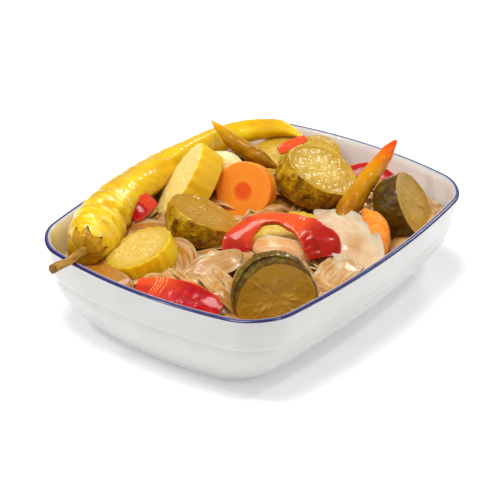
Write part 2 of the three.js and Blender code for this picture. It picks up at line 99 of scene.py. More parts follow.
def smoothstep(value, low, high):
    t = np.clip((value - low) / (high - low), 0, 1)
    return t * t * (3 - 2 * t)


def hump(value, width):
    """1 where the value is 0, and close to 0 where it is two widths away."""
    return np.exp(-((value / width) ** 2))


def noise(points, size, seed=0):
    """Smooth noise from -1 to 1, with lumps of about the given size."""
    place = np.asarray(points, float) / size + 13.7 * seed
    cell = np.floor(place).astype(np.int64)
    fade = smoothstep(place - cell, 0, 1)
    total = np.zeros(place.shape[:-1])
    for corner in itertools.product((0, 1), repeat=3):
        x, y, z = np.moveaxis((cell + corner) * HASH_PRIMES, -1, 0)
        code = (x ^ y ^ z ^ (seed * HASH_SEED)) & 0xFFFFFFFF
        code = (code ^ (code >> 13)) * HASH_MIX
        value = ((code >> 11) & 0xFFFF) / 32767.5 - 1
        total += value * np.prod(np.where(corner, fade, 1 - fade), axis=-1)
    return total


def rough_noise(points, size, seed=0, layers=3):
    """Layered noise: each layer is half the size and half the height of the one before."""
    return sum(noise(points, size / 2**k, seed + k) / 2**k for k in range(layers)) / 1.5


def smooth_line(points, places):
    """Points at the places (0 to 1) along a centripetal Catmull-Rom line."""
    p = np.asarray(points, float)
    p = np.vstack([2 * p[0] - p[1], p, 2 * p[-1] - p[-2]])
    step = np.sqrt(np.linalg.norm(np.diff(p[:, :3], axis=0), axis=1))
    place = np.clip(places, 0, 1) * (len(p) - 3)
    k = np.minimum(place.astype(int), len(p) - 4)
    t = (place - k)[:, None]
    a, b, c, d = (p[k + i] for i in range(4))
    da, db, dc = (step[k + i][:, None] for i in range(3))
    leave = db * ((b - a) / da - (c - a) / (da + db) + (c - b) / db)
    arrive = db * ((c - b) / db - (d - b) / (db + dc) + (d - c) / dc)
    start = (2 * t**3 - 3 * t**2 + 1) * b + (t**3 - 2 * t**2 + t) * leave
    return start + (3 * t**2 - 2 * t**3) * c + (t**3 - t**2) * arrive


def run_along(line):
    """How far along a line each of its points is."""
    return np.concatenate([[0], np.cumsum(np.linalg.norm(np.diff(line, axis=0), axis=1))])


def even_line(points, shares):
    """Points at shares of the line's length, and that length."""
    fine = smooth_line(points, np.linspace(0, 1, 1500))
    run = run_along(fine)
    at = np.interp(np.asarray(shares) * run[-1], run, np.arange(len(fine)))
    return np.stack([np.interp(at, np.arange(len(fine)), fine[:, i]) for i in range(3)], -1), run[-1]


def full_circle(sides):
    return TURN * np.arange(sides) / sides


def facing_vector(azimuth, elevation):
    a, e = math.radians(azimuth), math.radians(elevation)
    return np.array([math.cos(e) * math.cos(a), math.cos(e) * math.sin(a), math.sin(e)])


# ---------------------------------------------------------------- meshes

SHARP_ANGLE = math.radians(60)


def grid_normals(rings):
    around = np.roll(rings, -1, 1) - np.roll(rings, 1, 1)
    return unit(np.cross(around, np.gradient(rings, axis=0)))


class Shape:
    """Collects closed skins into one mesh. A row of its table is a point, its flow, skin and mark."""

    def __init__(self):
        self.table = []
        self.faces = []
        self.count = 0

    def add(self, rings, flow, skin=1.0, mark=0.0):
        """A skin over rings that run anticlockwise seen from the last one, closed by fans."""
        rows, sides = rings.shape[:2]
        ids = self.count + np.arange(rows * sides).reshape(rows, sides)
        beside = np.roll(ids, -1, 1)
        quads = np.stack([ids[:-1], beside[:-1], beside[1:], ids[1:]], -1).reshape(-1, 4)
        first = self.count + rows * sides
        self.faces += quads.tolist()
        self.faces += [(first, b, a) for a, b in zip(ids[0].tolist(), beside[0].tolist())]
        self.faces += [(first + 1, a, b) for a, b in zip(ids[-1].tolist(), beside[-1].tolist())]
        tones = [np.broadcast_to(tone, (rows, sides))[..., None] for tone in (skin, mark)]
        table = np.concatenate([rings, flow, *tones], -1)
        self.table += [table.reshape(rows * sides, -1), table[:1].mean(1), table[-1:].mean(1)]
        self.count = first + 2
        return self

    def finish(self, name, material, slot, *nodes):
        """Makes the mesh a piece of the part; nodes are the solids that it stands for."""
        table = np.vstack(self.table)
        mesh = bpy.data.meshes.new(name)
        mesh.from_pydata((table[:, :3] * MM).tolist(), [], self.faces)
        for key, kind, field, values in (
            ("flow", "FLOAT_VECTOR", "vector", table[:, 3:6]),
            ("skin", "FLOAT", "value", table[:, 6]),
            ("mark", "FLOAT", "value", table[:, 7]),
        ):
            attribute = mesh.attributes.new(key, kind, "POINT")
            attribute.data.foreach_set(field, values.ravel())
        mesh.polygons.foreach_set("use_smooth", np.ones(len(mesh.polygons), bool))
        mesh.materials.append(material)
        mesh.update()
        mesh.set_sharp_from_angle(angle=SHARP_ANGLE)
        piece = bpy.data.objects.new(name, mesh)
        scene.collection.objects.link(piece)
        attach(piece, "root")
        if nodes:
            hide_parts(*nodes)


# ---------------------------------------------------------------- materials


def colour(code):
    """Linear colour from a hex code."""
    parts = [int(code[i : i + 2], 16) / 255 for i in (1, 3, 5)]
    return [c / 12.92 if c <= 0.04045 else ((c + 0.055) / 1.055) ** 2.4 for c in parts] + [1]


class Paint:
    """One node-based material. Its calls add nodes and give back the last one's output."""

    def __init__(self, name, **sockets):
        self.material = bpy.data.materials.new(name)
        self.material.use_nodes = True
        self.tree = self.material.node_tree
        self.shader = self.tree.nodes["Principled BSDF"]
        self.flow = self.node("Attribute", attribute_name="flow").outputs["Vector"]
        self.skin = self.node("Attribute", attribute_name="skin").outputs["Fac"]
        self.mark = self.node("Attribute", attribute_name="mark").outputs["Fac"]
        self.connect(**sockets)

    def feed(self, socket, value):
        if isinstance(value, bpy.types.NodeSocket):
            self.tree.links.new(value, socket)
        else:
            socket.default_value = value

    def connect(self, **sockets):
        """Feeds the shader's sockets, whose names are written with _ for a space."""
        for key, value in sockets.items():
            self.feed(self.shader.inputs[key.replace("_", " ")], value)

    def node(self, kind, inputs=(), **settings):
        made = self.tree.nodes.new("ShaderNode" + kind)
        for key, value in settings.items():
            setattr(made, key, value)
        for key, value in dict(inputs).items():
            self.feed(made.inputs[key], value)
        return made

    def axes(self):
        return self.node("SeparateXYZ", {0: self.flow}).outputs[:3]

    def stretched(self, scales):
        """The straightened coordinates with each axis scaled."""
        return self.node("VectorMath", {0: self.flow, 1: scales}, operation="MULTIPLY").outputs[0]

    def radius(self):
        """Distance from a slice's axis, in millimetres."""
        return self.node("VectorMath", {0: self.stretched((1, 1, 0))}, operation="LENGTH").outputs["Value"]

    def noise(self, size, detail=3, stretch=None, distortion=0.0):
        """Noise from 0 to 1 with lumps of a size in millimetres; stretch scales each axis."""
        at = self.stretched(stretch) if stretch else self.flow
        inputs = {"Vector": at, "Scale": 1 / size, "Detail": detail, "Distortion": distortion}
        return self.node("TexNoise", inputs).outputs[0]

    def maths(self, operation, a, b):
        return self.node("Math", {0: a, 1: b}, operation=operation).outputs[0]

    def times(self, a, b):
        return self.maths("MULTIPLY", a, b)

    def step(self, value, low, high, to_low=0.0, to_high=1.0):
        """value from low to high, eased, becomes to_low to to_high."""
        inputs = {"Value": value, "From Min": low, "From Max": high, "To Min": to_low, "To Max": to_high}
        return self.node("MapRange", inputs, interpolation_type="SMOOTHSTEP").outputs["Result"]

    def wobbled(self, value, size, amount, detail=3):
        """The value, moved up and down by noise, over the amount in all."""
        drift = self.maths("SUBTRACT", self.noise(size, detail), 0.5)
        return self.maths("ADD", value, self.times(drift, amount))

    def patches(self, size, low, high, detail=2):
        """A value that goes between low and high from patch to patch."""
        return self.step(self.noise(size, detail), 0.3, 0.7, low, high)

    def ramp(self, value, *stops):
        made = self.node("ValToRGB", {"Fac": value})
        elements = made.color_ramp.elements
        elements[0].position, elements[1].position = stops[0][0], stops[-1][0]
        elements[0].color, elements[1].color = colour(stops[0][1]), colour(stops[-1][1])
        for place, code in stops[1:-1]:
            elements.new(place).color = colour(code)
        return made.outputs["Color"]

    def mix(self, share, a, b):
        """a where the share is 0 and b where it is 1; both may be hex codes."""
        made = self.node("Mix", data_type="RGBA")
        for index, value in ((0, share), (6, a), (7, b)):
            self.feed(made.inputs[index], colour(value) if isinstance(value, str) else value)
        return made.outputs[2]

    def bump(self, height, distance, strength, under=None):
        made = self.node("Bump", {"Height": height, "Distance": distance * MM, "Strength": strength})
        if under is not None:
            self.feed(made.inputs["Normal"], under)
        return made.outputs["Normal"]

    def finish(self, base, rough, relief, **more):
        self.connect(Base_Color=base, Roughness=rough, Normal=relief, **more)
        return self.material


def soft_flesh(name, depth, weight, radius=(1.0, 0.6, 0.3), **more):
    """The start of a wet, translucent food material; depth is how far light goes, in mm."""
    wet = {"Coat_Weight": 0.2, "Coat_Roughness": 0.1, "Coat_IOR": 1.33, "Specular_IOR_Level": 0.18}
    scatter = {"Subsurface_Weight": weight, "Subsurface_Radius": radius, "Subsurface_Scale": depth * MM}
    return Paint(name, **{**wet, **scatter, **more})


def glaze():
    """Grey-white glaze, painted brighter inside as painted light, with a painted yellow reflection of the
    pepper on the inner wall beside it, and a navy lip that thins out at its edges, where it turns lavender
    as a painted highlight on the lip's top.
    """
    p = Paint("glaze", Coat_Weight=0.6, Coat_Roughness=0.12, Subsurface_Weight=0.1,
              Subsurface_Scale=1.2 * MM)
    x, y, _ = p.axes()
    # Painted light: the inner wall is lighter and warmer than the outside, with a painted yellow reflection
    # of the pepper on it.
    by_pepper = p.times(p.step(x, -45, -80), p.step(y, -30, 20))
    inside = p.mix(by_pepper, "#f2ebe6", "#fff2b4")
    body = p.mix(p.skin, p.ramp(p.noise(22, 4), (0.3, "#c5c5c3"), (0.7, "#cdcdcb")), inside)
    body = p.mix(p.step(p.noise(0.7, 2), 0.70, 0.78, 0, 0.1), body, "#b7b2aa")
    paint = p.wobbled(p.mark, 2.5, 0.12)
    navy = p.ramp(p.noise(3.0), (0.3, "#08053f"), (0.75, "#151262"))
    # Lavender where the paint thins, on the lip's top: a painted highlight.
    navy = p.mix(p.step(paint, 1.0, 0.62, 0, 0.45), navy, "#6a6db4")
    base = p.mix(p.step(paint, 0.42, 0.58), body, navy)
    return p.finish(base, p.patches(9, 0.16, 0.26, 3), p.bump(p.noise(14), 0.12, 0.5))


def gherkin(name, dark_face=0.0, dark_rind=0.0):
    """Olive gherkin: mottled brown-green rind with dark spots, and a golden cut face with seeds."""
    p = soft_flesh(name, 2.2, 0.45, (1.0, 0.7, 0.1), Coat_Roughness=0.07)
    mottled = p.noise(4.2, 4, (1, 1, 0.6), 0.5)
    rind = p.ramp(mottled, (0.3, "#7c4e04"), (0.44, "#ae7c06"), (0.58, "#cda60e"), (0.74, "#e4c226"))
    rind = p.mix(p.step(p.noise(1.0), 0.5, 0.7, 0, 0.6), rind, "#7d5204")
    warts = p.times(p.mark, p.step(p.noise(1.3, 2), 0.3, 0.6, 0.35, 1.0))
    rind = p.mix(p.step(warts, 0.15, 0.85, 0, 0.8), rind, "#4f2e02")
    grain = p.noise(1.4, 4, distortion=1.0)
    core = p.ramp(grain, (0.3, "#c8a02e"), (0.55, "#dcb94e"), (0.78, "#edd27c"))
    outer = p.ramp(grain, (0.3, "#b48a12"), (0.7, "#d2a626"))
    face = p.mix(p.step(p.wobbled(p.radius(), 5, 6, 2), 6, 14), core, outer)
    face = p.mix(p.step(p.mark, 0.2, 0.8, 0, 0.3), face, "#e6c670")
    face = p.mix(p.step(p.noise(0.55, 2), 0.66, 0.74, 0, 0.3), face, "#e9cc80")
    if dark_face:
        face = p.mix(dark_face, face, "#aa7600")
    if dark_rind:
        rind = p.mix(dark_rind, rind, "#3a2409")
    base = p.mix(p.step(p.skin, 0.35, 0.65), face, rind)
    relief = p.bump(p.noise(0.9), 0.5, 0.6, p.bump(p.noise(3, 2), 0.6, 0.5))
    film = p.step(p.skin, 0.3, 0.7, 0.5, 0.8)
    return p.finish(base, p.step(p.noise(2.2), 0.35, 0.7, 0.4, 0.22), relief, Coat_Weight=film)


def marrow(name, rim_radius, bright=0.0):
    """Pale yellow flesh with a fine grain, and a smooth rind of stronger yellow that darkens towards the
    back as painted shade.
    """
    p = soft_flesh(name, 6.0, 0.7, (1.0, 0.75, 0.12), Coat_Weight=0.3, Coat_Roughness=0.08)
    grain = p.noise(0.9, 4, distortion=0.8)
    face = p.ramp(grain, (0.28, "#cca63a"), (0.5, "#dcb852"), (0.72, "#eacb78"))
    by_rind = p.step(p.wobbled(p.radius(), 4, 4, 2), rim_radius - 6, rim_radius - 0.5, 0, 0.75)
    face = p.mix(by_rind, face, "#c7a01e")
    face = p.mix(p.step(p.mark, 0.25, 0.8, 0, 0.32), face, "#fdeeb6")
    rind = p.ramp(p.noise(5, 3, (1, 1, 0.25)), (0.3, "#ecb608"), (0.55, "#f6cc12"), (0.8, "#fbdd3e"))
    _, _, height = p.axes()
    # The rind darkens further back from the cut face: painted shade.
    rind = p.mix(p.step(height, -5, -15, 0, 0.55), rind, "#c48f08")
    if bright:
        face = p.mix(bright, face, "#ffe690")
        rind = p.mix(bright, rind, "#ecbe20")
    base = p.mix(p.step(p.skin, 0.3, 0.7), face, rind)
    relief = p.bump(grain, 0.3, 0.6, p.bump(p.noise(2.6, 2), 0.4, 0.4))
    return p.finish(base, p.patches(2, 0.5, 0.28), relief)


def carrot(name, core_radius):
    """Orange flesh round a deeper core, with two pale rings."""
    p = soft_flesh(name, 2.5, 0.45, (1.0, 0.4, 0.1))
    r = p.wobbled(p.radius(), 4, 0.8)
    fine = p.noise(0.8, distortion=0.5)
    flesh = p.ramp(fine, (0.3, "#ff861a"), (0.7, "#ff9e2c"))
    core = p.ramp(fine, (0.3, "#e65208"), (0.7, "#f2640e"))
    face = p.mix(p.step(r, core_radius - 1.4, core_radius + 0.9), core, flesh)
    for ring_radius, pale in ((core_radius + 1.4, 0.3), (12.6, 0.25)):
        inside = p.step(r, ring_radius - 0.8, ring_radius)
        outside = p.step(r, ring_radius + 0.8, ring_radius, 0, pale)
        face = p.mix(p.times(inside, outside), face, "#ffab4e")
    side = p.ramp(p.noise(3, 3, (1, 1, 0.5)), (0.3, "#f77c10"), (0.7, "#ffa43c"))
    base = p.mix(p.step(p.skin, 0.3, 0.7), face, side)
    relief = p.bump(fine, 0.15, 0.4, p.bump(p.noise(3, 2), 0.3, 0.3))
    return p.finish(base, p.patches(2, 0.45, 0.3), relief)


def red_pepper(name):
    """Glossy red skin outside, turned orange by mark, mostly as painted light, with orange flesh on the cut
    edges and browner flesh inside.
    """
    p = soft_flesh(name, 2.0, 0.35, (1.0, 0.22, 0.08), Coat_Weight=0.45, Coat_Roughness=0.06)
    broad = p.noise(6, 4, (0.5, 1, 1), 0.4)
    skin = p.ramp(broad, (0.28, "#8e020b"), (0.5, "#ae060e"), (0.75, "#c91614"))
    # Orange skin where mark says: mostly painted light on the lit parts of the strips.
    skin = p.mix(p.step(p.mark, 0, 1, 0, 0.85), skin, "#f8602a")
    skin = p.mix(p.step(p.mark, 1.05, 1.4, 0, 0.8), skin, "#ffcf98")
    flesh = p.ramp(p.noise(1.8, 4), (0.3, "#e04a20"), (0.6, "#f4713a"), (0.8, "#fb9a60"))
    inner = p.ramp(p.noise(2.5, 4), (0.3, "#a85c04"), (0.7, "#d28a10"))
    cut = p.mix(p.step(p.skin, -0.6, -0.2), inner, flesh)
    base = p.mix(p.step(p.skin, 0.42, 0.6), cut, skin)
    relief = p.bump(p.noise(1.4), 0.25, 0.35, p.bump(p.noise(4, 2), 0.5, 0.4))
    return p.finish(base, p.step(p.skin, 0.3, 0.7, 0.38, 0.2), relief)


def yellow_pepper():
    """Wet yellow skin, paler at the stem, where folds across it carry painted shade and painted highlights.
    """
    p = soft_flesh("yellow_pepper", 3.0, 0.4, (1.0, 0.7, 0.1), Coat_Weight=0.8, Coat_Roughness=0.06)
    along, _, _ = p.axes()
    broad = p.noise(9, 3, (0.5, 1, 1))
    base = p.ramp(broad, (0.25, "#dba202"), (0.5, "#ebbe02"), (0.75, "#f4d006"))
    pale = p.ramp(broad, (0.25, "#e2b002"), (0.5, "#f3cb0a"), (0.8, "#fadd48"))
    base = p.mix(p.step(along, 75, 10), base, pale)
    by_stem = p.step(along, 62, 30)
    # Painted shade in the folds' valleys and painted highlights on their ridges near the stem.
    folds = p.noise(2.6, 3, (1, 0.25, 0.25), 0.5)
    base = p.mix(p.times(by_stem, p.step(folds, 0.5, 0.36, 0, 0.5)), base, "#cf9600")
    base = p.mix(p.times(by_stem, p.step(folds, 0.52, 0.68, 0, 0.6)), base, "#fff38c")
    base = p.mix(p.step(p.noise(1.2), 0.62, 0.74, 0, 0.2), base, "#c98e06")
    relief = p.bump(p.noise(2.0, 3, (0.7, 1, 1), 0.6), 0.6, 0.55)
    return p.finish(base, p.patches(4, 0.34, 0.2, 3), relief)


def calyx():
    p = soft_flesh("calyx", 1.0, 0.2, Coat_Weight=0.3)
    veins = p.noise(1.4, 3, (0.25, 1, 1), 0.5)
    base = p.ramp(veins, (0.3, "#9c6a02"), (0.6, "#cc9808"), (0.8, "#e2b41a"))
    base = p.mix(p.step(p.mark, 0.55, 0.95), base, "#4d3006")
    return p.finish(base, 0.4, p.bump(veins, 0.5, 0.6))


def stem():
    p = soft_flesh("stem", 0.8, 0.15)
    veins = p.noise(1.2, 4, (0.15, 1, 1), 0.4)
    base = p.ramp(veins, (0.28, "#6e4a17"), (0.5, "#a87c30"), (0.75, "#c9a24e"))
    base = p.mix(p.step(p.mark, 0.4, 0.9, 0, 0.8), base, "#7b4f22")
    return p.finish(base, 0.45, p.bump(veins, 0.6, 0.7))


def chilli(name, tip, middle, thick_end, length):
    """Colour runs from the thick end to the tip."""
    p = soft_flesh(name, 1.6, 0.35, (1.0, 0.5, 0.1), Coat_Weight=0.35, Specular_IOR_Level=0.1)
    along, _, _ = p.axes()
    share = p.wobbled(p.times(along, 1 / length), 6, 0.22)
    run = p.ramp(share, (0.05, thick_end), (0.55, middle), (0.95, tip))
    light = p.step(p.noise(2.4, 3, (0.35, 1, 1)), 0.45, 0.72, 0, 0.5)
    base = p.mix(light, run, p.mix(0.5, run, "#ffc020"))
    return p.finish(base, p.patches(3, 0.3, 0.18), p.bump(p.noise(2.5, 3, (0.4, 1, 1)), 0.45, 0.4))


def cabbage(name, light, deep):
    """Wet, half-clear cabbage, veined along each strip, with a painted highlight that makes it pale at its
    edges; mark turns it amber, for stains and for painted shade.
    """
    p = soft_flesh(name, 3.2, 0.8, (1.0, 0.85, 0.55), Coat_Weight=0.65, Coat_Roughness=0.09)
    veins = p.noise(1.8, 4, (0.14, 1, 1), 0.4)
    base = p.mix(p.step(p.noise(8), 0.36, 0.64), light, deep)
    base = p.mix(p.step(veins, 0.45, 0.7, 0, 0.3), base, "#fdebcf")
    base = p.mix(p.step(p.mark, 0.1, 1.0), base, "#b2751a")
    # Paler towards the edges: a painted rim highlight.
    base = p.mix(p.step(p.skin, 0.3, 1.0, 0, 0.2), base, "#fbe6c6")
    relief = p.bump(veins, 0.5, 0.6, p.bump(p.noise(5), 0.5, 0.4))
    return p.finish(base, p.patches(3, 0.4, 0.22), relief)


# ---------------------------------------------------------------- the dish

# A plan is half the length, half the width, the radius of the corners and the bow of the sides.
RIM = np.array([89.2, 69.4, 18.1, 0.121])
FOOT = np.array([72.2, 47.2, 14.9, 0.0986])
RIM_HEIGHT = 47.6
BAND_HEIGHT = 30.6
BAND_LEAN = 3
BAND_LEDGE = 0.6
LIP_WALL = 3
WALL = 4
FLOOR = 5.5
FOOT_ROUND = 1.5
FLOOR_ROUND = 9
LIP_ROUND = 1.1
LIP_START = RIM_HEIGHT - LIP_ROUND
LIP_INSET = 0.21  # the widest line of the lip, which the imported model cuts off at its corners


def outline_at(plan, height, arc_steps=14, side_steps=24):
    """Points round a bowed, rounded rectangle, anticlockwise seen from above."""
    length, width, corner, bow = plan
    ring = []
    signs = [(1, 1), (-1, 1), (-1, -1), (1, -1)]
    for quarter, (sx, sy) in enumerate(signs):
        angles = math.pi / 2 * (quarter + np.linspace(0, 1, arc_steps + 1))
        centre = np.array([sx * (length - corner), sy * (width - corner)])
        arc = centre + corner * np.stack([np.cos(angles), np.sin(angles)], -1)
        nx, ny = signs[(quarter + 1) % 4]
        turn = math.pi / 2 * (quarter + 1)
        toward = np.array([math.cos(turn), math.sin(turn)])
        to = np.array([nx * (length - corner), ny * (width - corner)]) + corner * toward
        shares = np.linspace(0, 1, side_steps + 1)[1:-1, None]
        ring += [arc, lerp(arc[-1], to, shares)]
    x, y = np.vstack(ring).T
    bowed_x = x * (1 + bow * (1 - (y / width) ** 2))
    bowed_y = y * (1 + bow * (1 - (x / length) ** 2))
    return np.stack([bowed_x, bowed_y, np.full_like(x, height)], -1)


def inset_by(plan, inset):
    length, width, corner, bow = plan
    return np.array([length - inset, width - inset, max(corner - inset, 2), bow])


def rounding(radius, height):
    """How far a rounded edge draws in at a height above its start."""
    return radius - math.sqrt(radius**2 - (radius - height) ** 2)


def outer_plan(height):
    if height >= BAND_HEIGHT:
        return inset_by(RIM, BAND_LEAN * (RIM_HEIGHT - height) / (RIM_HEIGHT - BAND_HEIGHT))
    share = math.sin(math.pi / 2 * height / BAND_HEIGHT) ** 0.95 if height > 0 else 0
    return lerp(FOOT, inset_by(RIM, BAND_LEAN + BAND_LEDGE), share)


def inner_plan(height):
    wall = lerp(WALL, LIP_WALL, height / RIM_HEIGHT)
    above = height - FLOOR
    turn_in = rounding(FLOOR_ROUND, above) if above < FLOOR_ROUND else 0
    return inset_by(outer_plan(height), wall + turn_in)


def outer_rows():
    """Plans and heights from the middle of the foot up to the lip."""
    rows = [(inset_by(FOOT, inset), 0.0) for inset in (30, 20, 10, 4, FOOT_ROUND)]
    rows += [(inset_by(outer_plan(z), rounding(FOOT_ROUND, z)), z) for z in (0.15, 0.5, 0.9, FOOT_ROUND)]
    rows += [(outer_plan(z), z) for z in np.linspace(2.2, BAND_HEIGHT - BAND_LEDGE, 24)]
    ledge_low, ledge_high = outer_plan(BAND_HEIGHT - 0.01), outer_plan(BAND_HEIGHT)
    for share in (0.25, 0.5, 0.75, 1.0):
        plan = lerp(ledge_low, ledge_high, smoothstep(share, 0, 1))
        rows.append((plan, BAND_HEIGHT - BAND_LEDGE * (1 - share)))
    for z in np.linspace(BAND_HEIGHT + 1, LIP_START, 14)[:-1]:
        rows.append((inset_by(outer_plan(z), LIP_INSET * smoothstep(z, 40, RIM_HEIGHT)), z))
    return rows


def lip_rows():
    """Plans, heights, 1 on the inner wall, and paint, over the lip."""
    rows = []
    for a, painted in zip(np.radians(np.linspace(0, 90, 7)), (0, 0.35, 0.9, 1, 1, 1, 0.75)):
        inset = lerp(LIP_INSET, LIP_ROUND, 1 - math.cos(a))
        rows.append((inset_by(RIM, inset), LIP_START + LIP_ROUND * math.sin(a), 0, painted))
    for degrees, inside, painted in ((90, 0, 0.55), (67.5, 0, 0.3), (45, 0, 0), (22.5, 1, 0), (0, 1, 0)):
        a = math.radians(degrees)
        inset = LIP_WALL - LIP_ROUND * (1 - math.cos(a))
        rows.append((inset_by(RIM, inset), LIP_START + LIP_ROUND * math.sin(a), inside, painted))
    return rows


def inner_rows():
    """Plans and heights from below the lip to the middle of the floor."""
    rows = [(inner_plan(z), z) for z in np.linspace(RIM_HEIGHT - 2, FLOOR + FLOOR_ROUND, 18)]
    rows += [(inner_plan(FLOOR + above), FLOOR + above) for above in (7, 5, 3.4, 2.1, 1.2, 0.4)]
    return rows + [(inset_by(rows[-1][0], inset), FLOOR) for inset in (6, 20, 34)]


def build_dish():
    rows = [(*row, 0, 0) for row in outer_rows()] + lip_rows() + [(*row, 1, 0) for row in inner_rows()]
    rings = np.stack([outline_at(plan, z) for plan, z, _, _ in rows])
    inside, painted = np.array([row[2:] for row in rows], float).T[..., None]
    Shape().add(rings, rings, inside, painted).finish("glazed_dish", glaze(), "glazed_dish", "dish")


build_dish()

# ---------------------------------------------------------------- slices and ends

SIDES = 180
BEVEL = 0.9
SEEDS = 34
WARTS = 130
BLISTERS = 60
THIRD_TURN = 2.094
CORE_RING = 4.3  # radius of the ring round the carrot's core
SHOULDER_SLOPE = 0.6
SHOULDER_POWER = 1.3


def slice_rows(thickness, dome, bulge, lip, end_skin):
    """Columns for the rows of a slice, from the middle of its back to the middle of its face.

    They are how far back a row lies, its scale, its inset, its share of the radius and its skin.
    """
    quarter = np.radians(np.linspace(0, 90, 5))[1:]
    rows = [(thickness, 1 - dome, BEVEL, s, end_skin) for s in np.linspace(0.02, 1, 9)]
    rows += [(thickness - BEVEL * math.sin(a), 1 - dome, BEVEL * (1 - math.sin(a)), 1, 1) for a in quarter]
    for t in np.linspace(0, 1, 44)[-2::-1]:
        swell = 1 + bulge * math.sin(math.pi * min(1.4 * t, 1))
        scale = swell * (1 - dome * (1 - math.sqrt(max(1 - t**3, 0))))
        rows.append((lerp(BEVEL, thickness - BEVEL, t), scale, 0, 1, 1))
    for a in quarter:
        rows.append((BEVEL * (1 - math.sin(a)), 1, lip * (1 - math.cos(a)), 1, 1 - smoothstep(a, 0.5, 1.2)))
    rows += [(0, 1, lip, s, 0) for s in np.linspace(1, 0.02, 46)[1:]]
    return (np.array(column)[:, None] for column in zip(*rows))


def gherkin_relief(cut):
    """Bumps and marks: oval seeds in three lobes of a sunk face, and dark-edged warts on the rind."""
    random, local = cut.random, cut.local
    x, y = local[..., 0], local[..., 1]
    lumps = 0.3 * rough_noise(local, 5, cut.seed) + 0.07 * noise(local, 1.1, cut.seed + 9)
    push = cut.on_face * (lumps - 0.45 * smoothstep(cut.share * np.ones(SIDES), 1.0, 0.86))
    mark = np.zeros(push.shape)
    for _ in range(SEEDS):
        lobe = THIRD_TURN * int(next(random) * 3) + cut.phase
        a, r = lobe + 1.2 * (next(random) - 0.5), cut.radius * lerp(0.22, 0.58, next(random))
        size = lerp(0.9, 1.5, next(random))
        dx, dy = x - r * math.cos(a), y - r * math.sin(a)
        out, side = dx * math.cos(a) + dy * math.sin(a), dy * math.cos(a) - dx * math.sin(a)
        oval = hump(out, 1.5 * size) * hump(side, 0.62 * size) * cut.on_face
        mark = np.maximum(mark, oval)
        push += 0.3 * oval
    for _ in range(WARTS):
        a, back = next(random) * TURN, lerp(0.5, cut.thickness, next(random) ** 0.9)
        size, high = lerp(0.7, 1.3, next(random)), lerp(0.1, 0.4, next(random))
        row = int(np.argmin(np.abs(cut.down[:, 0] - back) + 99 * (cut.share[:, 0] < 0.99)))
        gap = np.linalg.norm(local - local[row, int(a / TURN * SIDES)], axis=-1)
        mark = np.maximum(mark, hump(gap - 0.75 * size, 0.42 * size) * cut.on_side)
        push += high * hump(gap, size) * cut.on_side
    rind = 0.5 * rough_noise(local * [1, 1, 0.6], 6, cut.seed + 3) + 0.12 * noise(local, 1.2, cut.seed)
    return push + cut.on_side * rind, mark


def marrow_relief(cut):
    """Bumps and marks: a grainy face with small blisters, and a rind with faint lumps."""
    random, local = cut.random, cut.local
    grain = 0.22 * rough_noise(local, 3.2, cut.seed) + 0.16 * noise(local, 0.9, cut.seed + 9)
    push = cut.on_face * grain
    mark = np.zeros(push.shape)
    for _ in range(BLISTERS):
        a, r = next(random) * TURN, cut.radius * math.sqrt(next(random)) * 0.72
        size = lerp(0.5, 1.1, next(random))
        gap = np.hypot(local[..., 0] / cut.stretch - r * math.cos(a), local[..., 1] - r * math.sin(a))
        blister = hump(gap, size) * cut.on_face
        mark = np.maximum(mark, blister)
        push += 0.12 * blister
    return push + cut.on_side * 0.22 * rough_noise(local * [1, 1, 0.4], 4, cut.seed), mark


def carrot_relief(cut):
    """Bumps and marks: a low ring round the core of a smooth slice."""
    ring = hump(np.hypot(cut.local[..., 0], cut.local[..., 1]) - CORE_RING, 0.7)
    face = cut.on_face * (0.12 * ring + 0.07 * rough_noise(cut.local, 3, cut.seed))
    return face + cut.on_side * 0.12 * rough_noise(cut.local, 4, cut.seed), 0.0


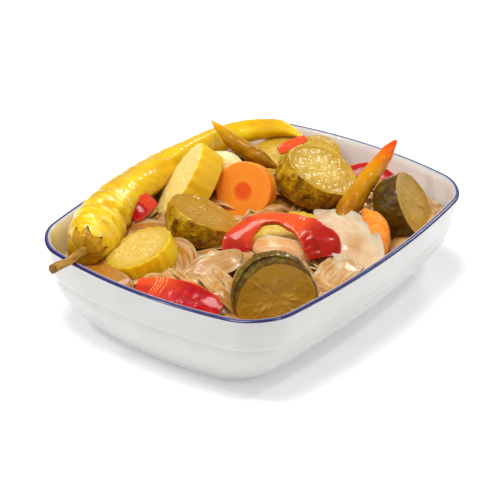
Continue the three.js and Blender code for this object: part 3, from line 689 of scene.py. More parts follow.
def slice_of(name, node, slot, material, at, facing, radius, thickness, relief, seed=1, turn=0, stretch=1.0,
             scallops=0, depth=0.0, dome=0.0, bulge=0.0, lean=(0, 0), wander=0.025, lumps=0.0, lip=BEVEL,
             end_skin=0, shoulder=None):
    """A slice whose cut face looks along facing, and which reaches back from it.

    depth is that of its scallops, wander and lumps how uneven its outline is, dome how much it
    narrows at the back, bulge how much it swells behind the face and lean where its back ends up.
    shoulder is where, round the face, the rind slopes back before the cut, and how wide it is there.
    """
    random = seeded(seed)
    phase = [next(random) * 6, next(random) * 6]
    angle = full_circle(SIDES)
    uneven = np.sin(2 * angle + phase[0]) + 0.6 * np.sin(3 * angle + phase[1])
    scallop = depth * (0.5 + 0.5 * np.cos(scallops * angle))
    around = radius * np.stack([np.cos(angle), np.sin(angle), 0 * angle], -1)
    rim = radius * (1 + wander * uneven) - scallop + lumps * noise(around, 2.6, seed + 6)
    down, scale, inset, share, skin = slice_rows(thickness, dome, bulge, lip, end_skin)
    skin = skin * np.ones(SIDES)
    outline = rim + 0.75 * scallop * smoothstep(down, 0.5, 5)
    reach = np.maximum(outline * scale - inset, 0.3) * share
    x = reach * stretch * np.cos(angle) + lean[0] * down / thickness
    y = reach * np.sin(angle) + lean[1] * down / thickness
    local = np.stack([x, y, np.broadcast_to(-down, x.shape)], -1)
    if shoulder:
        toward, wide = shoulder
        slope = np.clip(np.cos(angle - math.radians(toward)), 0, 1) ** SHOULDER_POWER
        beyond = np.clip(reach - (rim - lip - wide * slope), 0, None) * (down <= BEVEL)
        local[..., 2] -= SHOULDER_SLOPE * beyond
        skin = np.maximum(skin, smoothstep(beyond, 0.1, 0.6))
    cut = SimpleNamespace(
        random=random, seed=seed, phase=phase[0], radius=radius, thickness=thickness, stretch=stretch,
        local=local, down=down, share=share, on_face=(1 - skin) * (down < BEVEL),
        on_side=(skin > 0.5) * (share > 0.85),
    )
    push, mark = relief(cut)
    local = local + grid_normals(local) * push[..., None]
    azimuth, elevation = facing
    turns = ((azimuth, "Z"), (90 - elevation, "Y"), (turn, "Z"))
    swing, tilt, spin = (Matrix.Rotation(math.radians(degrees), 3, axis) for degrees, axis in turns)
    rings = local @ np.array(swing @ tilt @ spin).T + np.array(at)
    Shape().add(rings, local, skin, mark).finish(name, material, slot, node)


def gherkin_end(node, at, facing, radius, thickness, seed, material, **more):
    name = node.replace("gherkin", "gherkin_end")
    slice_of(name, node, "gherkin", material, at, facing, radius, thickness, gherkin_relief, seed, dome=0.45,
             wander=0.03, lumps=0.3, lip=0.5 * BEVEL, end_skin=1, **more)


def marrow_slice(name, node, material, at, facing, radius, thickness, seed, scallops=20, depth=0.7, **more):
    slice_of(name, node, "ridged_marrow", material, at, facing, radius, thickness, marrow_relief, seed,
             scallops=scallops, depth=depth, **more)


olive = gherkin("gherkin_olive")
olive_mid = gherkin("gherkin_mid", 0.75)
olive_dark = gherkin("gherkin_dark", 0.7, 0.75)
# gherkin_right's material: its rind is darkened as painted shade, and its face is a little darker too.
olive_shaded = gherkin("gherkin_painted_shade", 0.5, 0.85)
slice_of("carrot_slice", "carrot_disc", "carrot", carrot("carrot_flesh", 4.8), (16.3, 20.5, 46), (-167, 27),
         15, 10, carrot_relief, wander=0.01)
gherkin_end("gherkin_centre", (52.2, -4.4, 52), (-79, 65), 19, 20, 2, olive, lean=(-4.5, -1.5))
gherkin_end("gherkin_left", (-20, 17.1, 50), (-44, 66), 17.5, 17, 3, olive_mid)
gherkin_end("gherkin_front", (-58.7, -53.1, 43), (-136, 11), 19.7, 15, 4, olive_dark, bulge=0.07,
            shoulder=(205, 4.2))
gherkin_end("gherkin_right", (56.8, -56.8, 46), (-73, 31), 17.5, 19, 5, olive_shaded)
gherkin_end("gherkin_back_left", (65.9, 33.5, 43), (-150, 74), 15, 12, 6, olive)
gherkin_end("gherkin_back_right", (76, 17, 42.5), (-150, 64), 15, 12, 7, olive)
marrow_slice("marrow_wedge", "ridged_wedge", marrow("marrow_wedge", 12.2, 0.75), (-1.8, 47.2, 52), (138, 41),
             12.2, 15, 1, 18, 0.6, turn=-151, stretch=1.75)
marrow_slice("marrow_slice_front", "ridged_slice_front", marrow("marrow_slice", 16.8), (-62.5, 25.1, 46),
             (136, 68), 16.8, 16, 2)
marrow_slice("marrow_slice_back", "ridged_slice_back", marrow("marrow_slice_back", 16.8), (-1.5, -20, 44),
             (160, 78), 16.8, 13, 3)

# ---------------------------------------------------------------- peppers, chillies and carrot sticks

PEPPER_LINE = [
    (-79, 45, 45), (-63.4, 51.2, 46), (-44, 58.2, 47), (-30.5, 61, 48.5), (-9.9, 63.8, 48.7), (9.8, 65, 49),
    (31.7, 64.6, 49), (52.3, 62.5, 49.2), (65.1, 57.5, 49.5), (74, 50.5, 50), (80.5, 43.3, 50),
    (83.4, 31.2, 48),
]
PEPPER_RADII = [8, 12.3, 12.4, 12, 10.6, 9.4, 9, 8.8, 8.6, 8.2, 7.6, 7, 6.4, 6, 5.6, 4.6, 1]
STEM_LINE = [
    (-74, 47, 45.5), (-82.6, 42.6, 46.5), (-91.8, 39.1, 49.2), (-99.5, 36.4, 50.4), (-105.3, 37.2, 50.5),
    (-110.6, 37.7, 50.4),
]
STEM_RADII = [3.2, 2.2, 1.9, 1.9, 2.2]
LONGEST_CAP = 3
CALYX_POINTS = 9
CALYX_LIFT = 0.55
CALYX_THICKNESS = 0.5


def carried_frames(line):
    """Two directions across the line at each point, carried along it without twisting."""
    tangents = unit(np.gradient(line, axis=0))
    normal = np.cross(tangents[0], np.eye(3)[np.argmin(np.abs(tangents[0]))])
    normals = []
    for tangent in tangents:
        normal = normal - tangent * normal.dot(tangent)
        normal = normal / np.linalg.norm(normal)
        normals.append(normal)
    normals = np.array(normals)
    return tangents, normals, np.cross(tangents, normals)


def pod_rings(line, radii, rows, sides, push, cap=1.0):
    """Rings of a tapering round body with rounded ends, its straightened coordinates and its shares."""
    body = np.linspace(0, 1, rows)
    middle, length = even_line(line, body)
    tangents, normals, binormals = carried_frames(middle)
    radius = np.interp(body, np.linspace(0, 1, len(radii)), radii)
    window = np.hanning(11)[1:-1]
    smooth = np.convolve(np.pad(radius, 4, "edge"), window / window.sum(), "valid")
    radius = np.where((body > 0.02) & (body < 0.98), smooth, radius)
    quarter = np.linspace(0.12, 1, 8)[:-1] * math.pi / 2
    start_cap, end_cap = (min(end * cap, LONGEST_CAP) for end in (radius[0], radius[-1]))
    stations = [(0, math.sin(a), -math.cos(a) * start_cap) for a in quarter]
    stations += [(k, 1.0, 0.0) for k in range(rows)]
    stations += [(rows - 1, math.sin(a), math.cos(a) * end_cap) for a in quarter[::-1]]
    k, scale, slide = (np.array(column)[:, None] for column in zip(*stations))
    angle = full_circle(sides)
    along = body[k] * length + slide
    reach = radius[k] * scale
    flow = np.stack([along * np.ones(sides), reach * np.cos(angle), reach * np.sin(angle)], -1)
    reach = reach + push(along / length, angle, flow) * scale
    across = np.cos(angle)[:, None] * normals[k] + np.sin(angle)[:, None] * binormals[k]
    rings = middle[k] + tangents[k] * slide[..., None] + reach[..., None] * across
    return rings, flow, along / length


def creases(points, size, seed):
    """Sharp ridges from 0 to 1 with soft valleys between them."""
    return (1 - np.abs(noise(points, size, seed))) ** 2 - 0.45


def pepper_push(share, angle, flow):
    """Folds along the body, a crease behind the swollen end, and wrinkles that fade to the tip."""
    folds = 0.45 * np.sin(3 * angle + 9 * share)
    by_stem = smoothstep(share, 0.24, 0.1)
    middle = smoothstep(share, 0.1, 0.17) * smoothstep(share, 0.7, 0.42)
    wrinkles = by_stem * creases(flow * [1, 0.28, 0.28], 3.2, 21)
    crumples = 0.75 * creases(flow * [0.7, 1, 1], 8, 22) + 0.35 * creases(flow * [1, 0.7, 0.7], 3.6, 24)
    waist = -1.9 * hump(share - 0.15 - 0.02 * np.sin(angle + 1), 0.013)
    swell = 0.6 * hump(share - 0.1, 0.04)
    return folds + wrinkles + middle * crumples + waist + swell + 0.1 * noise(flow, 2.2, 23)


def stem_push(share, angle, flow):
    """Ribs along the stem."""
    return 0.16 * np.sin(5 * angle) + 0.12 * noise(flow * [0.4, 1, 1], 1.5, 31)


def chilli_push(seed):
    return lambda share, angle, flow: (
        0.22 * np.sin(2 * angle + 5 * share) + 0.5 * rough_noise(flow * [0.6, 1, 1], 5, seed)
        + 0.16 * noise(flow, 1.9, seed + 5)
    )


def carrot_push(share, angle, flow):
    return 0.5 * rough_noise(flow * [0.6, 1, 1], 6, 41) + 0.16 * noise(flow * [3, 1, 1], 3.2, 42)


def build_calyx(rings):
    """A thin cap that hugs the first rings of the pepper and ends in short pointed lobes."""
    angle = full_circle(rings.shape[1])
    columns = np.arange(rings.shape[1])
    lobes = np.abs(((angle * CALYX_POINTS / TURN + 0.13 * np.sin(3 * angle)) % 1) - 0.5) * 2
    t = np.linspace(0, 1, 26)[:, None]
    place = 0.5 + t * (9.5 + 6 * lobes**2.4)
    low = np.minimum(place.astype(int), len(rings) - 2)
    surface = lerp(rings[low, columns], rings[low + 1, columns], (place - low)[..., None])
    lift = CALYX_LIFT * (1 - 0.75 * t**3)
    outer = surface + grid_normals(rings)[low, columns] * lift[..., None]
    under = outer - CALYX_THICKNESS * grid_normals(outer)
    dark = smoothstep(t, 0.55, 1.0) * smoothstep(lobes, -0.2, 1.0)
    closed = np.vstack([under[:-1], outer[::-1]])
    marks = np.vstack([dark[:-1], dark[::-1]])
    flow = np.stack(np.broadcast_arrays(0 * marks, 8 * np.cos(angle), 8 * np.sin(angle)), -1)
    Shape().add(closed, flow, 1.0, marks).finish("pepper_calyx", calyx(), "yellow_pepper")


def build_long_pepper():
    rings, flow, _ = pod_rings(PEPPER_LINE, PEPPER_RADII, 300, 84, pepper_push)
    Shape().add(rings, flow).finish("long_yellow_pepper", yellow_pepper(), "yellow_pepper", "long_pepper")
    build_calyx(rings)
    rings, flow, share = pod_rings(STEM_LINE, STEM_RADII, 90, 36, stem_push, 0.3)
    Shape().add(rings, flow, 1.0, smoothstep(share, 0.9, 1.0)).finish("pepper_stem", stem(), "yellow_pepper")


def build_pod(name, node, slot, line, radii, material, push, rows=130, sides=48):
    rings, flow, _ = pod_rings(line, radii, rows, sides, push)
    Shape().add(rings, flow).finish(name, material, slot, node)


build_long_pepper()
build_pod(
    "chilli_left", "chilli_left", "chilli",
    [(42.6, 20.1, 50), (41.2, 26.7, 52), (40.7, 45.7, 58), (44.3, 61.5, 63)],
    [1.5, 4, 4.6, 4.4, 3.9, 2.6, 0.6],
    chilli("chilli_olive", "#ecac04", "#ae7804", "#8e5a04", 44), chilli_push(51),
)
build_pod(
    "chilli_right", "chilli_right", "chilli",
    [(25.4, -33.3, 43), (33.8, -32.3, 46.5), (41.5, -31.9, 50), (62.7, -31.2, 60), (76.5, -31.1, 66)],
    [3.5, 6, 5.9, 5.2, 4.7, 4.3, 3.8, 3.2, 1.3],
    chilli("chilli_orange", "#ea4c08", "#d49206", "#a66804", 56), chilli_push(52),
)
build_pod(
    "carrot_stick", "carrot_right", "carrot",
    [(32.8, -43.1, 47), (25.9, -53.5, 44), (17.6, -59, 39), (6, -59.5, 33)],
    [2.5, 5.6, 6.4, 6.6, 6.4, 5.5, 3.5],
    carrot("carrot_skin", 1.0), carrot_push, 110, 60,
)

# ---------------------------------------------------------------- strips of red pepper

WAVES = 2.5  # how often a strip ripples along its length


def section(across, through, flats, round_steps):
    """A strip's cross-section from -1 to 1, anticlockwise, with corners rounded by two shares."""
    arc = np.radians(np.linspace(0, 90, round_steps))
    side = np.concatenate([[1, 1], 1 - across * (1 - np.cos(arc)), np.linspace(1 - across, 0, flats)[1:]])
    up = np.concatenate([[0, 0.5 * (1 - through)], 1 - through * (1 - np.sin(arc)), np.ones(flats - 1)])
    side = np.concatenate([side, -side[-2::-1], -side[1:], side[-2:0:-1]])
    up = np.concatenate([up, up[-2::-1], -up[1:], -up[-2:0:-1]])
    return side, up


def strip_frame(stations, u):
    """The middle of a strip at shares u of it, with its directions across and out, and its width."""
    stations = np.asarray(stations, float)
    line, ahead, behind = (smooth_line(stations[:, :3], u + shift) for shift in (0, 1e-3, -1e-3))
    along = unit(ahead - behind)
    place = u * (len(stations) - 1)
    k = np.minimum(place.astype(int), len(stations) - 2)
    share = smoothstep(place - k, 0, 1)[:, None]
    directions = np.array([facing_vector(a, e) for a, e in stations[:, 3:5]])
    facing = unit(lerp(directions[k], directions[k + 1], share))
    facing = unit(facing - along * (facing * along).sum(1, keepdims=True))
    width = lerp(stations[k, 5], stations[k + 1, 5], share[:, 0])
    return line, np.cross(facing, along), facing, width


def strip_rings(stations, thickness, push, cup=0.0, ripple=0.0, taper=0.25, rows=80, corner=(0.08, 0.9),
                flats=9, ragged=0.0, bend=2.0, thin_edge=0.35, thin_end=0.0, round_end=0.0, round_steps=5):
    """A strip along a smooth line of stations (x, y, z, azimuth, elevation, width)."""
    closing = np.array([0.0, 0.55, 0.85])
    u = np.concatenate([np.zeros(3), np.linspace(0, 1, rows), np.ones(3)])
    line, across, facing, width = strip_frame(stations, u)
    shrink = np.concatenate([closing, np.ones(rows), closing[::-1]])[:, None]
    u = u[:, None]
    to_end = np.abs(2 * u - 1)
    half = width[:, None] * (1 - taper * to_end**3) / 2 * (1 - 0.12 * (1 - shrink))
    half = half * (1 - round_end * (1 - np.sqrt(1 - 0.97 * to_end**8)))
    side, up = section(*corner, flats, round_steps)
    side, up = side * np.ones_like(half), up * shrink
    edge = np.stack(np.broadcast_arrays(line[:, :1] + 9 * np.sign(side), line[:, 1:2], 0.0), -1)
    half = half * (1 + ragged * rough_noise(edge, 5, 7) * side**2)
    wave = TURN * WAVES * u + 2 * side
    lift = -cup * np.abs(side) ** bend * half + ripple * side * np.sin(wave)
    dropping = -bend * cup * np.sign(side) * np.abs(side) ** (bend - 1) * half
    slope = (dropping + ripple * np.sin(wave) + 2 * ripple * side * np.cos(wave)) / half
    normal = unit(facing[:, None] - slope[..., None] * across[:, None])
    thick = thickness * (1 - thin_edge * side**2) * (1 - thin_end * to_end**4) / 2
    flow = np.stack([run_along(line)[:, None] * np.ones_like(side), side * half, up * thick], -1)
    rings = line[:, None] + across[:, None] * (side * half)[..., None] + facing[:, None] * lift[..., None]
    rings = rings + normal * (up * thick + push(u, side, up, flow))[..., None]
    return rings, flow, up, side


def pepper_strip(name, node, stations, material, seed, thickness=4, cup=0.15, wrinkle=0.15,
                 wrinkled=(-2, -1), tone_at=lambda along, side: 0.15, **more):
    """A cut piece of pepper, whose wrinkles set in from one share of its length to another."""
    more = {"taper": 0.12, "bend": 1.7, "thin_edge": 0.2, **more}

    def swell(u, side, up, flow):
        share = wrinkle * smoothstep(u, *wrinkled) * smoothstep(up, 0, 1)
        wrinkles = share * noise(flow * [1, 0.5, 0], 2.4, seed + 4)
        return 0.2 * rough_noise(flow * [0.7, 1, 0], 9, seed) + wrinkles

    rings, flow, up, side = strip_rings(stations, thickness, swell, cup, corner=(0.04, 0.16), **more)
    along = flow[..., 0] / flow[..., 0].max()
    # Orange painted light along the long edges of the skin, over tone_at's share.
    tone = np.maximum(tone_at(along, side), 0.8 * smoothstep(np.abs(side), 0.93, 0.98))
    Shape().add(rings, flow, up, tone).finish(name, material, "red_pepper", node)


def arch_tone(along, side):
    """Red legs, with orange painted light on the lit bridge between them and on the left leg's facet."""
    left_leg = 0.4 * smoothstep(along, 0.05, 0.2) * smoothstep(along, 0.34, 0.25)
    return 0.22 + left_leg + 0.7 * smoothstep(along, 0.28, 0.36) * smoothstep(along, 0.82, 0.62)


# Orange painted light on the lit top of the piece, from about the middle of its length.
def left_tone(along, side):
    return 0.5 * smoothstep(along, 0.4, 0.55)


def front_tone(along, side):
    """Orange painted light on the lit upper side of the left end, fading to red skin further on, with a few
    pale lines across its skin.
    """
    tone = (0.35 + 0.4 * smoothstep(side, -0.2, 0.5)) * smoothstep(along, 0.7, 0.2)
    for place in (0.2, 0.235, 0.265, 0.31):
        line = hump(along - place - 0.012 * np.sin(4 * side), 0.008)
        tone = np.maximum(tone, 1.6 * line * smoothstep(side, -0.75, -0.2))
    return tone


RED_PEPPERS = {
    "red_arch": (
        [(-33, -11.4, 40.5, -150, 22, 13), (-29.8, -9.8, 45.5, -152, 34, 14.5),
         (-20.2, -10.5, 51, -160, 60, 9.5), (-14.5, -13.5, 53.4, -150, 78, 6.8),
         (-10.2, -19.9, 54.4, -122, 82, 7.2), (-8.1, -28.6, 54, -120, 74, 11),
         (-6.6, -37.1, 51.2, -122, 60, 16), (-7.8, -44.2, 47.2, -135, 42, 19.5),
         (-10.3, -47.5, 42, -138, 28, 17.5)],
        {"thickness": 3.6, "rows": 140, "wrinkle": 0.45, "wrinkled": (0.45, 0.65), "tone_at": arch_tone},
    ),
    "red_left": (
        [(-37.5, 49.5, 43.5, 172, 22, 10), (-32.9, 47.7, 47.5, -140, 58, 10.5),
         (-23.7, 47.7, 48.5, -105, 60, 9.5)],
        {"cup": 0.06, "tone_at": left_tone},
    ),
    "red_front": (
        [(-85.5, 7.3, 40, 170, 62, 11), (-82.4, -4.3, 41, 175, 60, 14), (-79.9, -17, 41, 180, 58, 15),
         (-79, -28.3, 40, -170, 55, 13), (-78.2, -35.4, 38, -165, 50, 9)],
        {"cup": 0.1, "rows": 110, "wrinkle": 0.12, "bend": 2, "tone_at": front_tone},
    ),
    "red_back": (
        [(62, 30.8, 48, -150, 40, 5), (68.8, 27.2, 50, -150, 50, 6), (77.8, 25.2, 51, -150, 50, 4)],
        {"thickness": 2.5, "cup": 0, "tone_at": lambda along, side: 0.9},
    ),
    "red_right": (
        [(80.6, -2.2, 36, -150, 50, 12), (85.5, -11.1, 37, -150, 45, 14), (86.5, -24, 35.5, -160, 45, 12)],
        {},
    ),
}
red = red_pepper("red_pepper")
for number, (node, (stations, more)) in enumerate(RED_PEPPERS.items()):
    pepper_strip(node.replace("red", "red_pepper"), node, stations, red, 61 + number, **more)

# ---------------------------------------------------------------- cabbage leaves


def edge_share(side):
    """How near a place across a strip is to its long edges, from 0 to 1."""
    return smoothstep(np.abs(side), 0.7, 1.0)


def tucked(stations, reach):
    """The stations with one more at each end, that dips into the heap."""

    def beyond(end, before):
        away = unit(np.array(end[:2]) - np.array(before[:2])) * reach * 0.8
        return (end[0] + away[0], end[1] + away[1], end[2] - reach, end[3], end[4], 0.8 * end[5])

    return [beyond(stations[0], stations[1]), *stations, beyond(stations[-1], stations[-2])]


def cabbage_leaf(name, node, stations, material, seed, thickness=1.0, ripple=0.4, cup=0.05, taper=0.45,
                 lumps=0, ruffle=0.5, ragged=0.06, stain=0.3, hollow=0, hollow_at=0.55, curl=0.4, tuck=6):
    """A thin leaf with soft folds and raised edges; hollow dents its middle and paints shade into the dent,
    lumps make it knobbly.
    """
    if tuck:
        stations = tucked(stations, tuck)

    def folds(u, side, up, flow):
        dent = hollow * hump(side, 0.6) * hump(u - hollow_at, 0.28)
        broad = 0.35 * rough_noise(flow * [1, 1, 0], 14, seed, 2) + curl * edge_share(side) - dent
        halves = flow * [1, 0, 0] + 40.0 * np.sign(side)[..., None]
        edge = ruffle * np.abs(side) ** 3 * noise(halves, 6, seed + 1)
        bumps = lumps * np.abs(rough_noise(flow, 3.2, seed + 2)) * (up > 0)
        return broad + edge + bumps + 0.12 * noise(flow * [0.2, 1, 0], 1.5, seed + 3)

    rings, flow, up, side = strip_rings(
        stations, thickness, folds, cup, ripple, taper, ragged=ragged, flats=14, thin_edge=0.8, thin_end=0.6,
        round_end=0.6,
    )
    along = flow[..., 0] / flow[..., 0].max()
    # Painted shade in the dent, as amber through mark.
    dented = min(hollow / 3, 0.6) * hump(side, 0.5) * hump(along - hollow_at, 0.2)
    stains = stain * smoothstep(rough_noise(flow, 9, seed + 5), 0.0, 0.7)
    shape = Shape().add(rings, flow, edge_share(side), np.maximum(stains, dented))
    shape.finish(name, material, "cabbage_leaf", node)


LEAVES = {
    "leaf_right": (
        [(22, -21, 43, -120, 62, 20), (14.6, -38.8, 46, -122, 58, 28.5), (5.8, -54.6, 45, -128, 45, 27.5),
         (-3, -63.5, 39, -130, 30, 26)], "pale",
        {"ruffle": 0.8, "stain": 0.35, "ragged": 0.02, "cup": 0.02, "hollow": 2.4, "hollow_at": 0.66,
         "curl": 0.9},
    ),
    "leaf_left": (
        [(-61.5, -5.1, 41, -150, 60, 8), (-55.7, -10.2, 44, -140, 62, 12), (-48.3, -14.7, 45, -130, 62, 13),
         (-37.5, -16.2, 43, -130, 55, 10)], "tan",
        {"thickness": 2, "cup": 0.1, "taper": 0.5, "ragged": 0.04, "ruffle": 0.3, "hollow": 1.6,
         "curl": 0.9},
    ),
    "leaf_under_arch": (
        [(-25.2, -16.3, 42.7, -144, 50, 9), (-23.2, -22.7, 45.2, -144, 55, 12),
         (-18.7, -30.2, 45.2, -144, 55, 12), (-14.6, -38, 42.2, -144, 45, 9)], "peach",
        {"thickness": 1.6, "cup": 0.15, "taper": 0.5, "ruffle": 0.4, "stain": 0.25},
    ),
    "leaf_back": (
        [(17.4, 36.5, 41, -150, 20, 18), (21.2, 37.5, 49.5, -150, 22, 24), (28.6, 40.5, 57.5, -150, 30, 20)],
        "cream", {"thickness": 2, "lumps": 0.9, "stain": 0, "tuck": 0},
    ),
    "leaf_corner": (
        [(-57, -16, 43, -150, 50, 9), (-64.1, -26.5, 42, -150, 50, 11), (-71, -36, 37, -150, 40, 9)],
        "tan", {"hollow": 0.8},
    ),
    "leaf_front": (
        [(0, -57, 39.5, -130, 76, 16), (-17, -59, 40.5, -130, 76, 18), (-34, -61.5, 38, -130, 60, 14)],
        "tan", {"stain": 0.2, "curl": 0.15},
    ),
    "leaf_slice": (
        [(-50, 21, 38, -150, 60, 15), (-49.5, 12.5, 41.5, -150, 55, 18), (-56, 3.5, 41, -150, 50, 16),
         (-61, -0.5, 38, -150, 40, 10)], "amber",
        {"ruffle": 0.15, "ripple": 0.1, "ragged": 0.04, "curl": 0.2},
    ),
    "leaf_wall": (
        [(-46, 46, 39.5, -140, 70, 12), (-38, 38, 41.2, -140, 72, 14), (-33, 28, 39.5, -140, 66, 12)],
        "amber", {},
    ),
}
leaf_tones = {
    "pale": cabbage("cabbage_pale", "#efcaa4", "#e2b48a"),
    "tan": cabbage("cabbage_tan", "#d2a66c", "#bb8440"),
    "peach": cabbage("cabbage_peach", "#ecb87c", "#d99c58"),
    "amber": cabbage("cabbage_amber", "#bb7c1a", "#a0620e"),
    "cream": cabbage("cabbage_cream", "#fbe2a0", "#f0c670"),
}
for number, (node, (stations, tone, more)) in enumerate(LEAVES.items()):
    cabbage_leaf(node.replace("leaf", "cabbage_leaf"), node, stations, leaf_tones[tone], 71 + number, **more)

# ---------------------------------------------------------------- the heap of shredded cabbage

HEAP_EDGE = 33
HEAP_CROWN = 6
HOLLOWS = [(5, 16, 13, 8), (35, -10, 14, 6), (28, -62, 10, 5), (-33, 6, 9, 3)]  # x, y, width and depth
GAP = 0.3
CORE_HEIGHTS = [7.6, 9, 11, 13.5, 16, 20, 24]
CORE_TOP = 28
CORE_SINK = 0.6
# How amber the heap's core is: painted shade under the shreds.
CORE_STAIN = 0.65
SHREDS_OF_SOLIDS = 18
SHREDS_AT_WALL = 24
END_DIP = 3
# The front gherkin's face: the circle that no shred of the scene's own enters.
FACE_AT, FACE_RADIUS = (-63, -57), 15
KINDS = [
    (SHREDS_OF_SOLIDS, {"stride": (6, 11), "width": (4, 10), "tilted": 55, "corners": False}),
    (58, {"stride": (7, 12), "width": (3, 6.5), "tilted": 50, "turn": 24}),
    (28, {"stride": (7, 10), "width": (9, 15), "tilted": 74, "turn": 16}),
]
# Shreds that show in front: the places each runs through, and its width.
CURLS = [
    ([(-74, 9, 40), (-73, 0, 42), (-74, -8, 42), (-74, -15, 42), (-74, -21, 39)], 5),
    ([(-64, 3, 41), (-68, -8, 42), (-70, -17, 42), (-70, -23, 40)], 3.5),
    ([(-60, -13, 42), (-67, -23, 44), (-70, -30, 44), (-70, -36, 40)], 7),
    ([(-54, -19, 42), (-61, -28, 44), (-65, -34, 43), (-67, -38, 40)], 5),
    ([(-64, 12, 39), (-66, -1, 40), (-65, -10, 40), (-62, -14, 39)], 6),
    ([(-72, 46, 37), (-79, 36, 38), (-83, 26, 38), (-84, 17, 36)], 12),
    ([(-34, -47, 41), (-36, -58, 42), (-36, -66, 42), (-35, -70, 38)], 10),
]
AMBER_CURL = 5


def heap_height(x, y):
    out = np.minimum(1, np.hypot(x / 95, y / 72))
    crown = HEAP_CROWN * (1 - out**2)
    lumps = 1.2 * np.sin(x / 9 + 1.3 * np.sin(y / 11)) + 0.9 * np.cos(y / 7 - x / 17)
    dents = sum(deep * hump(np.hypot(x - hx, y - hy), wide) for hx, hy, wide, deep in HOLLOWS)
    return HEAP_EDGE + crown + lumps - dents


def clear_of_face(stations):
    return min(math.dist(FACE_AT, station[:2]) for station in stations) > FACE_RADIUS


def shred_over(random, stride, width, tilted, turn=28, corners=True):
    """The stations of one shred that lies over the heap, if it fits; tilted is how far it may lean.

    With corners it may lie in the corners of the dish, and its ends dip into the heap.
    """
    if corners:
        x, y = lerp(-86, 86, next(random)), lerp(-65, 65, next(random))
    else:
        around = next(random) * TURN
        out = math.sqrt(next(random)) * 0.92
        x, y = 88 * out * math.cos(around), 66 * out * math.sin(around)
    heading = next(random) * 360
    stride = lerp(*stride, next(random))
    bend = lerp(-turn, turn, next(random))
    width = lerp(*width, next(random))
    stations = []
    for k in range(5):
        loft = 0.6 + 2.2 * math.sin(math.pi * k / 4) * next(random)
        if corners and k in (0, 4):
            loft -= END_DIP
        height = float(heap_height(x, y)) + loft
        stations.append((x, y, height, heading + 90, lerp(tilted, 90, next(random)), width))
        heading += bend
        x += stride * math.cos(math.radians(heading))
        y += stride * math.sin(math.radians(heading))
    if corners:
        reach = max((px / 89) ** 6 + (py / 69) ** 6 for px, py, *_ in stations)
        fits = reach < 1 and clear_of_face(stations)
    else:
        fits = max(math.hypot(px / 86, py / 64) for px, py, *_ in stations) < 1
    return stations if fits else None


def wall_shred(random):
    """The stations of one shred that lies along the dish's wall, if it fits."""
    ring = outline_at(inset_by(inner_plan(38), lerp(4, 12, next(random))), 0)
    run = run_along(ring)
    stride = lerp(7, 11, next(random))
    start = next(random) * (run[-1] - 4 * stride)
    width = lerp(4, 8, next(random))
    stations = []
    for k in range(5):
        x, y = (float(np.interp(start + k * stride, run, ring[:, axis])) for axis in (0, 1))
        height = float(heap_height(x, y)) + 0.6 + 1.6 * next(random) - (END_DIP if k in (0, 4) else 0)
        inward = math.degrees(math.atan2(-y, -x))
        stations.append((x, y, height, inward, lerp(55, 90, next(random)), width))
    return stations if clear_of_face(stations) else None


def curl_stations(places, width):
    """Stations of a shred through the places, which leans to and fro as it goes."""
    leaning = [(*place, -144, 62 + 14 * math.sin(2.1 * k + width), width) for k, place in enumerate(places)]
    return tucked(leaning, 4)


def all_shreds(random):
    """The stations of the curls in front, of the shreds over the heap and of those along the wall."""
    shreds = [curl_stations(*curl) for curl in CURLS]
    for number, kind in KINDS:
        made = 0
        while made < number:
            stations = shred_over(random, **kind)
            if stations:
                shreds.append(stations)
                made += 1
    along_wall = [wall_shred(random) for _ in range(SHREDS_AT_WALL)]
    return shreds + [stations for stations in along_wall if stations]


def core_rings():
    """The body of the heap, a little lower than its top."""
    rings = [outline_at(inset_by(inner_plan(z), GAP), z) for z in CORE_HEIGHTS]
    rings.append(outline_at(inset_by(inner_plan(CORE_TOP), GAP + CORE_SINK), CORE_TOP))
    walls = len(rings)
    brim = outline_at(inset_by(inner_plan(CORE_HEIGHTS[-1]), GAP + CORE_SINK), 0)
    for share in np.linspace(1, 0.03, 40):
        ring = brim * [share, share, 0]
        edge = 2 * smoothstep(share, 0.93, 1.0)
        ring[:, 2] = heap_height(ring[:, 0], ring[:, 1]) - CORE_SINK - edge
        rings.append(ring)
    rings = np.stack(rings)
    rings[walls:, :, 2] += 1.1 * rough_noise(rings, 6, 81)[walls:]
    return rings


def shred_push(shift):
    """Soft folds and ruffled edges, which the shift makes different for each shred."""
    return lambda u, side, up, flow: (
        0.5 * noise(flow * [1, 1, 0] + shift, 9, 82)
        + 0.4 * np.abs(side) ** 3 * noise(flow * [1, 0, 0] + shift * np.sign(side)[..., None], 6, 83)
    )


def build_heap():
    rings = core_rings()
    shape = Shape().add(rings, rings, 0.0, CORE_STAIN)
    random = seeded(11)
    for number, stations in enumerate(all_shreds(random)):
        shift = np.array([0, 31.0 * number, 0])
        rings, flow, _, side = strip_rings(
            stations, 1.0, shred_push(shift), 0.03, 0.5, rows=17, corner=(0.1, 0.9), flats=4, ragged=0.05,
            thin_edge=0.5, round_end=0.6, round_steps=3,
        )
        # Shreds turn amber where they sink below the heap's top: painted shade.
        sunk = smoothstep(heap_height(rings[..., 0], rings[..., 1]) + 3.4 - rings[..., 2], 0, 4)
        amber = 0.75 if number == AMBER_CURL else 0.45 * next(random) ** 2
        shape.add(rings, flow + shift, edge_share(side), np.maximum(CORE_STAIN * sunk, amber))
    material = cabbage("cabbage_shreds", "#d2a262", "#b47a2a")
    shape.finish("shredded_cabbage", material, "shredded_cabbage", "cabbage_heap")


build_heap()

# ---------------------------------------------------------------- studio

FLOOR_REACH = 6
WHITE = (1, 1, 1, 1)
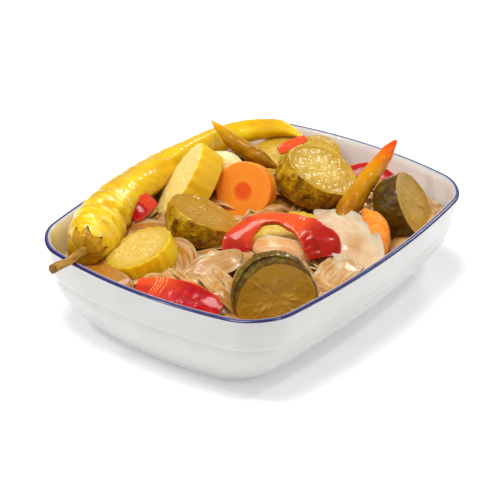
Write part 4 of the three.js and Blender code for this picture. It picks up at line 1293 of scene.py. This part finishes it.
# The lamps: name, place and width in metres, power in watts and colour.
LAMPS = [
    ("overhead", (-0.2, 0.05, 1.1), 0.5, 8.3, (1.0, 0.99, 0.97)),
    ("front", (-1.05, -0.3, 0.95), 0.7, 0.8, (1.0, 1.0, 0.98)),
    ("left", (-0.95, 0.62, 0.45), 0.9, 1.5, (1.0, 1.0, 1.0)),
    ("right", (0.62, -1.0, 0.45), 0.9, 2.0, (1.0, 1.0, 1.0)),
    ("spark_left", (-0.55, 0.45, 0.9), 0.12, 1.9, (1.0, 1.0, 1.0)),
    ("spark_right", (0.15, -0.5, 0.95), 0.12, 1.4, (1.0, 1.0, 1.0)),
    ("spark_back", (0.82, 0.12, 0.62), 0.2, 1.25, (1.0, 1.0, 1.0)),
]


def build_floor():
    corners = [(x * FLOOR_REACH, y * FLOOR_REACH, 0) for x, y in ((-1, -1), (1, -1), (1, 1), (-1, 1))]
    mesh = bpy.data.meshes.new("floor")
    mesh.from_pydata(corners, [], [(0, 1, 2, 3)])
    p = Paint("floor", Base_Color=(0.978, 0.978, 0.978, 1), Roughness=0.9, Specular_IOR_Level=0.1,
              Emission_Color=WHITE, Emission_Strength=0.22)
    mesh.materials.append(p.material)
    floor = bpy.data.objects.new("floor", mesh)
    scene.collection.objects.link(floor)


def build_lamp(name, at, size, power, tint):
    """A round lamp that looks at the origin."""
    lamp = bpy.data.lights.new(name, "AREA")
    lamp.shape = "DISK"
    lamp.size = size
    lamp.energy = power
    lamp.color = tint
    holder = bpy.data.objects.new(name, lamp)
    holder.location = at
    toward = Matrix.Translation(at).inverted().translation
    holder.rotation_euler = toward.to_track_quat("-Z", "Y").to_euler()
    scene.collection.objects.link(holder)


def build_studio():
    build_floor()
    world = bpy.data.worlds.new("studio")
    scene.world = world
    world.use_nodes = True
    sky = world.node_tree.nodes["Background"].inputs
    sky["Color"].default_value = WHITE
    sky["Strength"].default_value = 0.26
    for lamp in LAMPS:
        build_lamp(*lamp)
    scene.view_settings.view_transform = "Standard"


build_studio()
